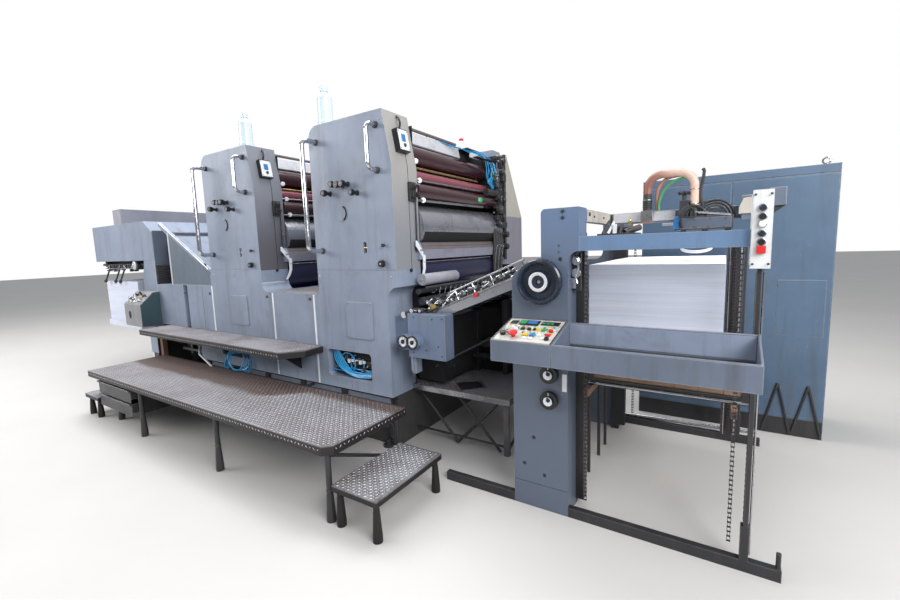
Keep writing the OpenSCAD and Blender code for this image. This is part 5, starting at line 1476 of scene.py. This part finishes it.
    sprockets.hose([(266, -80, 1196), (290, -84, 1180), (296, -84, 1140), (284, -82, 1104),
                    (292, -82, 1070)], 5, 10)
    sprockets.box(262.5, 284, -78, -60, 1050, 1096)
    sprockets.done(0.8)
    back = Piece("chain_brackets", "black_metal")
    back.box(262.3, 300, -58, -40, 1040, 1205)
    back.box(262.3, 292, -96, -58, 1196, 1208)
    back.done(1.0)
    thin_posts = Piece("pile_side_posts", "black_metal")
    for y in (327, 545, 703):
        thin_posts.rod((238, y, 0), (238, y, 600), 9, 12)
    thin_posts.box(228, 248, 120, 1000, 596, 612)
    thin_posts.done()


feeder()


def sheets_pile(name, mat, body, box, replaces, tone_step=22.0, ragged=1.6):
    """A pile of paper as reams that sit a little out of line, inside its solid's box."""
    x0, x1, y0, y1, z0, z1 = box
    pile = Piece(name, mat, body)
    z = z0
    while z < z1 - 0.5:
        top = min(z1, z + rng.uniform(0.6, 1.4) * tone_step)
        a, b, c, d = (rng.uniform(0.1, ragged) for _ in range(4))
        pile.box(x0 + a, x1 - b, y0 + c, y1 - d, z, top)
        z = top
    pile.done(0.0, 30, replaces)


def piles():
    x0, x1, y0, y1, z0, z1 = cad("paper_stack")
    sheets_pile("paper_stack_reams", "paper", "feeder_pile", (x0, x1, y0, y1, z0, z1 - 3),
                ["paper_stack"])
    top = Piece("paper_stack_top_sheets", "paper_top", "feeder_pile")
    for k, (a, b, c, d) in enumerate(((3, 4, 2, 3), (9, 160, 5, 300), (200, 3, 240, 12))):
        verts, faces = [], []
        n = 14
        for i in range(n + 1):
            for j in range(n + 1):
                u, v = i / n, j / n
                x = x0 + a + (x1 - b - x0 - a) * u
                y = y0 + c + (y1 - d - y0 - c) * v
                curl = max(0.0, 1 - min(u, v, 1 - u, 1 - v) * 9) ** 2
                z = z1 - 2.9 + 0.35 * k + (0.5 + 0.9 * curl * math.sin(5 * u + 3 * v + k) ** 2)
                verts.append((x, y, z))
        for i in range(n):
            for j in range(n):
                p = i * (n + 1) + j
                faces.append([p, p + n + 1, p + n + 2, p + 1])
        under = [(vx, vy, vz - 0.3) for vx, vy, vz in verts]
        count = len(verts)
        edge = [i * (n + 1) for i in range(n + 1)] + [n * (n + 1) + j for j in range(1, n + 1)]
        edge += [i * (n + 1) + n for i in range(n - 1, -1, -1)] + [j for j in range(n - 1, 0, -1)]
        faces += [[count + i for i in f[::-1]] for f in faces[:]]
        faces += [[edge[i], count + edge[i], count + edge[(i + 1) % len(edge)],
                   edge[(i + 1) % len(edge)]] for i in range(len(edge))]
        faces[-len(edge):] = [f[::-1] for f in faces[-len(edge):]]
        top.add(verts + under, faces)
    top.done()

    # Pile board: steel edge, light rod, lugs, board ends
    x0, x1, y0, y1, z0, z1 = cad("pile_table")
    y0, y1 = 20.0, 1050.0
    metal = Piece("pile_board_frame", "black_metal", "feeder_pile")
    metal.box(x0 + 1, x1 - 1, y0 - 9, y0 - 0.2, z0 + 31, z0 + 62)
    metal.box(x0 + 1, x0 + 26, y0 - 12, y0 - 9, z0 + 31, z0 + 90)
    metal.box(x1 - 26, x1 - 1, y0 - 12, y0 - 9, z0 + 31, z0 + 90)
    for x in (x0 + 150, x0 + 300, x0 + 450):
        metal.screw((x, y0 - 9, z0 + 46), -Y, 6, 4, 6)
    metal.done(1.0)
    rod = Piece("pile_board_rod", "steel", "feeder_pile")
    rod.rod((x0 + 2, y0 - 16, z0 + 42), (x1 - 2, y0 - 16, z0 + 42), 5, 12)
    rod.done()
    grain = Piece("pile_board_planks", "wood", "feeder_pile")
    for k in range(7):
        a = x0 + 2 + k * (x1 - x0 - 4) / 7
        grain.box(a + 1, a + (x1 - x0 - 4) / 7 - 1, y0 - 3, y0 + 6, z0 + 63 + (k % 2), z0 + 89.6)
    grain.done(1.2)

    x0, x1, y0, y1, z0, z1 = cad("delivery_pile")
    sheets_pile("delivery_pile_reams", "paper", "delivery_pile",
                (-5110, -4330, 60, 1100, 560.2, 1000.6), [], 26.0, -1.2)


piles()


# Delivery

def delivery():
    hx0, hx1, hy0, hy1, hz0, hz1 = cad("delivery_housing")
    dark = Piece("delivery_slats", "black_metal")
    dark.box(hx1 + 0.3, hx1 + 6, 4, 146, 994, 1176)
    for k in range(11):
        z = 1000 + 16 * k
        dark.prism([(hx1 + 6, z), (hx1 + 16, z + 3), (hx1 + 16, z + 6), (hx1 + 6, z + 9)],
                   "y", 8, 142)
    dark.done(0.5)
    # Dark panel on the housing's right face: painted shade of the recess there
    panel = Piece("delivery_recess_shade", "panel_dark")
    panel.box(hx1 + 0.4, hx1 + 3, 4, 146, 1178, 1500)
    panel.done(0.4)
    slope = Piece("delivery_slope_skin", "slope_shade")
    slope.prism([(hx1 + 322, 1000), (UNIT_2 - 30, 1000), (UNIT_2 - 30, 1098), (hx1 + 322, 1448)],
                "y", -0.9, -0.1)
    slope.done()
    trim = Piece("delivery_trims", "silver")
    x = hx1 + 312
    trim.box(x - 14, x + 6, -1.4, 0, 992, 1462)
    trim.box(hx1 - 4, hx1 - 0.5, -1.2, 0, 612, 1215)
    trim.done(0.4)
    grate = Piece("delivery_grate", "black_metal")
    for k in range(12):
        x = hx1 + 60 + 36 * k
        z = 1560 - (x - hx1 - 60) * 0.735
        if x < hx1 + 480:
            grate.box(x, x + 12, 180, 1560, min(z - 100, 1470) + 2, min(z - 100, 1470) + 12)
    grate.box(hx1 + 6, hx1 + 300, 156, 1740, 1434.2, 1442)
    grate.done(0.8)
    lip = Piece("delivery_lip_rim", "silver")
    lip.rod((hx1 + 152, 2, 1564), (UNIT_2 - 50, 2, 1132), 2.6, 8)
    lip.rod((hx1 + 152, 22, 1564), (UNIT_2 - 50, 22, 1132), 2.6, 8)
    lip.done()
    # Black oval on the lip: painted shade inside its slot
    oval = Piece("delivery_lip_slot", "dark")
    oval.turn = Matrix.Translation((-2856, -0.6, 1172))
    points = [(22 * math.cos(2 * math.pi * k / 20) , 8 * math.sin(2 * math.pi * k / 20))
              for k in range(20)]
    points = [(a * 0.88 + b * 0.48, -a * 0.48 + b * 0.88) for a, b in points]
    oval.prism(points, "y", 0, 0.6)
    oval.done()
    seams = Piece("delivery_panel_seams", "dark")
    seams.box(-2952.5, -2949.5, -0.5, 0.3, 612, 988)
    seams.box(-3268, -3196, 56, 59.9, 612, 989)
    seams.box(hx0 + 1, hx1 - 60, -0.4, 0, hz0 + 920, hz0 + 920.6)
    seams.done()
    strips = Piece("side_panel_strips", "strip_white")
    for x, z0, z1 in ((-2790, 612, 993), (-1972, 612, 958), (-1520, 612, 958), (-1972, 344, 564),
                      (-1520, 344, 564)):
        strips.box(x - 8, x + 8, -2.2, -0.1, z0, z1)
    strips.done(0.6)
    catches = Piece("side_panel_catches", "black_metal")
    for x in (-2040, -1560, -3230, -2830):
        catches.lathe((x, -0.1, 928), -Y, [(11, 0), (11, 4), (7, 6)], 16)
    catches.done()

    # Hand disc, levers' pivots, springs below the cantilever
    disc = Piece("delivery_hand_disc", "silver")
    disc.lathe((-4248 - 0, 19.8, 1172), -Y, [(42, 0), (42, 5), (34, 8), (12, 8), (12, 16), (8, 18)],
               32)
    disc.done()
    under = Piece("delivery_mechanism", "black_metal")
    bits = Piece("delivery_mechanism_bright", "steel")
    for k in range(16):
        x = -4960 + 50 * k
        z = 1158 - rng.uniform(6, 60)
        under.box(x, x + rng.uniform(16, 40), 34, 34 + rng.uniform(20, 60), z, 1180)
        if k % 3 == 0:
            bits.lathe((x + 12, 33, z + 14), -Y, [(8, 0), (8, 5), (5, 7)], 14)
    for x in (-4900, -4640, -4520):
        bits.lathe((x, 29.5, 1158), -Y, [(13, 0), (13, 4), (8, 6)], 18)
        bits.lathe((x - 110, 20, 1003), Vector((-0.55, 0, -0.82)), [(9, 10), (12, 20), (9, 30)], 14)
    bits.rod((-4990, 30, 1140), (-4270, 30, 1140), 5, 10)
    under.rod((-5000, 46, 1118), (-4700, 46, 1118), 8, 12)
    under.done(0.8)
    bits.done()

    # Console: frame, dark round buttons on its slope, oval grip hole in its front
    cx0, cx1, cy0, cy1, cz0, cz1 = cad("delivery_console")
    low, high = Vector((0, -178, 810)), Vector((0, -60, 920))
    reach = (high - low).length
    v_way = (high - low) / reach
    n_way = Vector((0, -v_way.z, v_way.y))
    turn = Matrix((X, v_way, n_way)).transposed().to_4x4()
    turn.translation = low

    def sloped(name, mat):
        piece = Piece(name, mat)
        piece.turn = turn
        return piece

    black = sloped("console_buttons", "black_plastic")
    for x, v in ((cx0 + 46, 116), (cx0 + 46, 66), (cx0 + 102, 120), (cx0 + 150, 60),
                 (cx0 + 250, 110), (cx0 + 250, 56)):
        black.lathe((x, v, 0), Z, [(17, 0), (17, 9), (13, 12)], 20)
    bright = sloped("console_fittings", "white_plastic")
    for k in range(26):
        x, v = cx0 + rng.uniform(16, 290), rng.uniform(14, 140)
        (black, bright)[k % 2].box(x, x + rng.uniform(8, 24), v, v + rng.uniform(6, 16), 2,
                                   rng.uniform(6, 26))
    bright.rod((cx0 + 60, 20, 4), (cx0 + 110, 60, 60), 4, 8)
    bright.rod((cx0 + 230, 30, 4), (cx0 + 200, 90, 70), 4, 8)
    bright.done(0.6)
    black.done()
    pale = sloped("console_plate", "console_grey")
    pale.box(cx0 + 10, cx1 - 10, 8, reach - 8, 0.2, 2)
    pale.done(0.6)
    keys = sloped("console_keys", "yellow_plastic")
    for x in (cx0 + 190, cx0 + 216):
        keys.box(x, x + 16, 88, 104, 2, 9)
    keys.done(1.0)
    wheel = sloped("console_hand_knob", "chrome")
    wheel.lathe((cx0 + 200, 40, 2), Z, [(18, 0), (18, 14), (12, 18)], 20)
    wheel.done()
    # Black oval in the console's front: painted shade inside the grip hole
    hole = Piece("console_grip_hole", "dark")
    points = [(cx0 + 110 + 26 * math.cos(2 * math.pi * k / 24),
               710 + 38 * math.sin(2 * math.pi * k / 24)) for k in range(24)]
    hole.prism(points, "y", cy0 - 0.8, cy0)
    hole.done()
    rim = Piece("console_side", "console_dark")
    rim.prism([(-176, 606), (-176, 809), (-61, 917), (-2, 921), (-2, 593)], "x", cx1 + 0.1, cx1 + 2)
    rim.done(0.4)

    # Leg post, and black boxes and sheets below the running board: painted shade over the works there
    post = Piece("delivery_leg_post", "silver")
    post.box(hx1 - 262, hx1 - 227, -1.4, 0, 20, 296)
    post.done(1.0)
    shade_boxes = Piece("delivery_under_shade_boxes", "dark")
    shade_boxes.box(-3740, UNIT_2 - 292, 190, 600, 300.5, 606)
    shade_boxes.box(hx1 - 129.5, hx1 - 0.5, 296, 299.7, 1, 591)
    shade_boxes.box(hx1 - 129.7, hx1 - 128.4, 1, 299, 1, 591)
    shade_boxes.done()
    rusty = Piece("delivery_leg_stay", "bracket_rust")
    rusty.box(hx1 - 126, hx1 - 72, 18, 60, 250, 591)
    rusty.rod((hx1 - 96, 30, 4), (hx1 - 96, 30, 250), 16, 14)
    rusty.done(1.5)
    rods = Piece("delivery_under_rods", "black_metal")
    rods.rod((-3600, 120, 590), (-3330, 150, 330), 11, 12)
    rods.rod((-3470, 100, 420), (-3180, 60, 560), 9, 12)
    rods.rod((-3250, 120, 590), (-3120, 90, 380), 8, 12)
    rods.rod((-3700, 150, 340), (-3090, 150, 340), 14, 12)
    rods.box(-3560, -3530, 150, 190, 300, 606)
    rods.box(-3300, -3270, 150, 190, 300, 606)
    rods.done(0.8)
    shiny = Piece("delivery_under_lever", "silver")
    shiny.rod((-2840, -130, 430), (-2560, -190, 383), 8, 12)
    shiny.rod((-3010, -20, 560), (-2840, -130, 430), 10, 12)
    shiny.done()

    # Cross box on the roof: lids and end plate; screws on the box and the roof
    dx0, dx1, dy0, dy1, dz0, dz1 = cad("delivery_duct")
    lid = Piece("delivery_box_lids", "drive_grey")
    for k in range(3):
        a = dy0 + 6 + k * (dy1 - dy0) / 3
        lid.box(dx0 + 8, dx1 - 8, a, a + (dy1 - dy0) / 3 - 12, dz1 - 0.2, dz1 + 3)
    lid.box(dx0 + 10, dx1 - 10, dy0 - 2.5, dy0, dz0 + 12, dz1 - 12)
    lid.done(1.0)
    box_screws = Piece("delivery_box_screws", "steel")
    for x in (dx0 + 22, dx1 - 22):
        for z in (dz0 + 24, dz1 - 24):
            box_screws.screw((x, dy0 - 2.5, z), -Y, 5, 3)
    for x in (hx0 + 300, hx0 + 700, hx0 + 1080):
        box_screws.screw((x, 60, hz1), Z, 6, 3)
    box_screws.done()


delivery()


# Base, units' tops and drive side

def frames_and_back():
    top = Piece("unit_top_lids", "press_grey")
    for u0 in (UNIT_1, UNIT_2):
        top.box(u0 + 84, u0 + 320, 250, 1366, UNIT_H - 109.8, UNIT_H - 96)
        top.box(u0 + 90, u0 + 600, 8, 92, UNIT_H, UNIT_H + 0.6)
    top.done(1.5)
    back = Piece("drive_side_doors", "drive_grey")
    seams = Piece("drive_side_seams", "dark")
    handles = Piece("drive_side_latches", "black_plastic")
    depth = cad("unit_1_drive_cover")[3]
    for u0 in (UNIT_1, UNIT_2):
        for a, b in ((18, 322), (336, 646)):
            back.box(u0 + a, u0 + b, depth - 1, depth - 0.1, 380, 1110)
            back.box(u0 + a, u0 + b, depth - 1, depth - 0.1, 1140, 1480)
            for k in range(9):
                z = 440 + 22 * k
                seams.box(u0 + a + 60, u0 + b - 60, depth - 0.3, depth - 0.05, z, z + 7)
            handles.box(u0 + b - 34, u0 + b - 16, depth - 6, depth - 0.4, 800, 860)
            handles.box(u0 + b - 34, u0 + b - 16, depth - 6, depth - 0.4, 1280, 1330)
    back.done()
    seams.done()
    handles.done(1.5)
    base = Piece("base_pipes", "black_metal")
    base.rod((UNIT_2 - 280, 46, 120), (-890, 46, 120), 11, 12)
    base.rod((UNIT_2 - 280, 40, 200), (-890, 40, 200), 8, 12)
    for x in range(-3000, -900, 260):
        base.box(x, x + 26, 28, 60, 60, 330)
    base.done(1.0)
    rail = Piece("base_rail", "feeder_grey")
    rail.box(UNIT_2 - 270, -900, 20, 27, 290, 326)
    rail.done(1.0)
    # Black band along the base just below the covers: painted shadow; with short black blocks in
    # front of the rail
    shade_band = Piece("base_shade_band", "dark")
    shade_band.box(UNIT_2 - 270, -840, 12, 27, 326.5, 339.5)
    for x in range(-3000, -900, 420):
        shade_band.box(x, x + 50, 8, 20, 296, 339.5)
    shade_band.done(0.6)
    feet = Piece("base_feet", "black_metal")
    for x in (-3000, -2400, -1800, -1200, -940):
        for y in (30, 1830):
            feet.lathe((x, y, 0), Z, [(34, 0), (34, 14), (14, 16), (14, 46)], 20)
    feet.done()

    # Feeder's far side, cabinet dressing
    x0, x1, y0, y1, z0, z1 = cad("control_cabinet")
    cab = Piece("cabinet_doors", "cabinet_blue")
    w = (x1 - x0) / 2
    for k in (0, 1):
        cab.box(x0 + 6 + k * w, x0 + w - 4 + k * w, y0 - 0.9, y0 - 0.1, 126, z1 - 56)
    cab.box(x1 - 260, x1 - 30, y0 - 2.4, y0 - 0.9, 640, 980)
    cab.done(0.4)
    locks = Piece("cabinet_locks", "black_plastic")
    for x in (x0 + w - 40, x0 + w + 46):
        for z in (520, 1240):
            locks.lathe((x, y0 - 0.9, z), -Y, [(13, 0), (13, 5), (9, 8)], 18)
            locks.box(x - 3, x + 3, y0 - 14, y0 - 8, z - 12, z + 12)
    locks.done()
    eyes = Piece("cabinet_eyes", "steel")
    for x in (x0 + 60, x1 - 60):
        for y in (y0 + 60, y1 - 60):
            eyes.lathe((x, y, z1), Z, [(18, 0), (18, 6), (9, 8)], 16)
            eyes.ring((x, y, z1 + 26), Y, 18, 5, 24, 8)
    eyes.done()
    plinth = Piece("cabinet_plinth", "black_metal")
    plinth.box(x0 + 2, x1 - 2, y0 - 1.5, y0, 1, 112)
    for a in (x1 - 300, x1 - 150):
        plinth.rod((a, y0 - 8, 20), (a + 70, y0 - 8, 330), 7, 10)
        plinth.rod((a + 140, y0 - 8, 20), (a + 70, y0 - 8, 330), 7, 10)
    plinth.done(0.8)
    vents = Piece("cabinet_vents", "dark")
    for k in range(12):
        vents.box(x0 + 90, x0 + 330, y1 - 0.5, y1 + 0.2, 300 + 26 * k, 309 + 26 * k)
        vents.box(x1 - 330, x1 - 90, y1 - 0.5, y1 + 0.2, 300 + 26 * k, 309 + 26 * k)
    vents.done()


frames_and_back()


def studio():
    """Pale floor and backdrop, soft light from above and from the camera's side."""
    scene = bpy.context.scene
    scene.view_settings.view_transform = "Standard"
    world = bpy.data.worlds.new("studio")
    scene.world = world
    world.use_nodes = True
    tree = world.node_tree
    tree.nodes.clear()
    out = tree.nodes.new("ShaderNodeOutputWorld")
    light = tree.nodes.new("ShaderNodeBackground")
    light.inputs["Color"].default_value = (0.93, 0.96, 1.0, 1.0)
    way = tree.nodes.new("ShaderNodeTexCoord")
    split = tree.nodes.new("ShaderNodeSeparateXYZ")
    tree.links.new(way.outputs["Generated"], split.inputs[0])
    rise = tree.nodes.new("ShaderNodeMapRange")
    rise.inputs["From Min"].default_value = -0.1
    rise.inputs["From Max"].default_value = 0.9
    rise.inputs["To Min"].default_value = 0.22
    rise.inputs["To Max"].default_value = 0.75
    tree.links.new(split.outputs["Z"], rise.inputs["Value"])
    tree.links.new(rise.outputs["Result"], light.inputs["Strength"])
    seen = tree.nodes.new("ShaderNodeBackground")
    seen.inputs["Color"].default_value = (1.0, 1.0, 1.0, 1.0)
    seen.inputs["Strength"].default_value = 1.0
    path = tree.nodes.new("ShaderNodeLightPath")
    both = tree.nodes.new("ShaderNodeMixShader")
    tree.links.new(path.outputs["Is Camera Ray"], both.inputs[0])
    tree.links.new(light.outputs[0], both.inputs[1])
    tree.links.new(seen.outputs[0], both.inputs[2])
    tree.links.new(both.outputs[0], out.inputs[0])

    mesh = bpy.data.meshes.new("floor")
    size = 40.0
    mesh.from_pydata([(-size, -size, 0), (size, -size, 0), (size, size, 0), (-size, size, 0)],
                     [], [(0, 1, 2, 3)])
    floor = bpy.data.objects.new("floor", mesh)
    scene.collection.objects.link(floor)
    mat, tree, shader = new_material("floor")
    shade = noise(tree, coords(tree), 0.9, 5.0, 0.6)
    tree.links.new(mix(tree, shade, (0.48, 0.465, 0.45), (0.56, 0.545, 0.53)),
                   shader.inputs["Base Color"])
    shader.inputs["Roughness"].default_value = 0.7
    mesh.materials.append(mat)

    def lamp(name, place, aim, size, power):
        data = bpy.data.lights.new(name, "AREA")
        data.shape = "RECTANGLE"
        data.size, data.size_y = size
        data.energy = power
        obj = bpy.data.objects.new(name, data)
        obj.location = place
        obj.rotation_euler = (Vector(aim) - Vector(place)).to_track_quat("-Z", "Y").to_euler()
        scene.collection.objects.link(obj)

    lamp("skylight", (-1.0, 0.2, 5.4), (-0.8, -0.3, 0.0), (8.0, 2.4), 400.0)
    lamp("left_windows", (-6.0, -5.2, 3.6), (-3.0, 0.0, 1.0), (5.0, 2.6), 340.0)
    lamp("right_windows", (5.2, -2.6, 3.2), (-0.6, 0.2, 1.1), (3.2, 2.4), 270.0)


# The photographed view: a wide lens at eye level, turned a little and tilted down
CAM_PLACE = (827.0, -1930.0, 1245.0)
CAM_YAW, CAM_PITCH, CAM_ROLL = 32.85, 6.97, 1.92
FOCAL_PX, FRAME_PX = 428.0, 900.0


def camera():
    yaw, pitch, roll = (math.radians(v) for v in (CAM_YAW, CAM_PITCH, CAM_ROLL))
    ahead = Vector((-math.sin(yaw) * math.cos(pitch), math.cos(yaw) * math.cos(pitch),
                    -math.sin(pitch)))
    level = Vector((math.cos(yaw), math.sin(yaw), 0.0))
    down = ahead.cross(level)
    right = math.cos(roll) * level + math.sin(roll) * down
    under = math.cos(roll) * down - math.sin(roll) * level
    data = bpy.data.cameras.new("camera")
    data.sensor_width = 36.0
    data.lens = FOCAL_PX * data.sensor_width / FRAME_PX
    data.clip_end = 100.0
    obj = bpy.data.objects.new("camera", data)
    bpy.context.scene.collection.objects.link(obj)
    turn = Matrix((right, -under, -ahead)).transposed().to_4x4()
    obj.matrix_world = Matrix.Translation(to_row(*CAM_PLACE)) @ turn
    bpy.context.scene.camera = obj


studio()
camera()
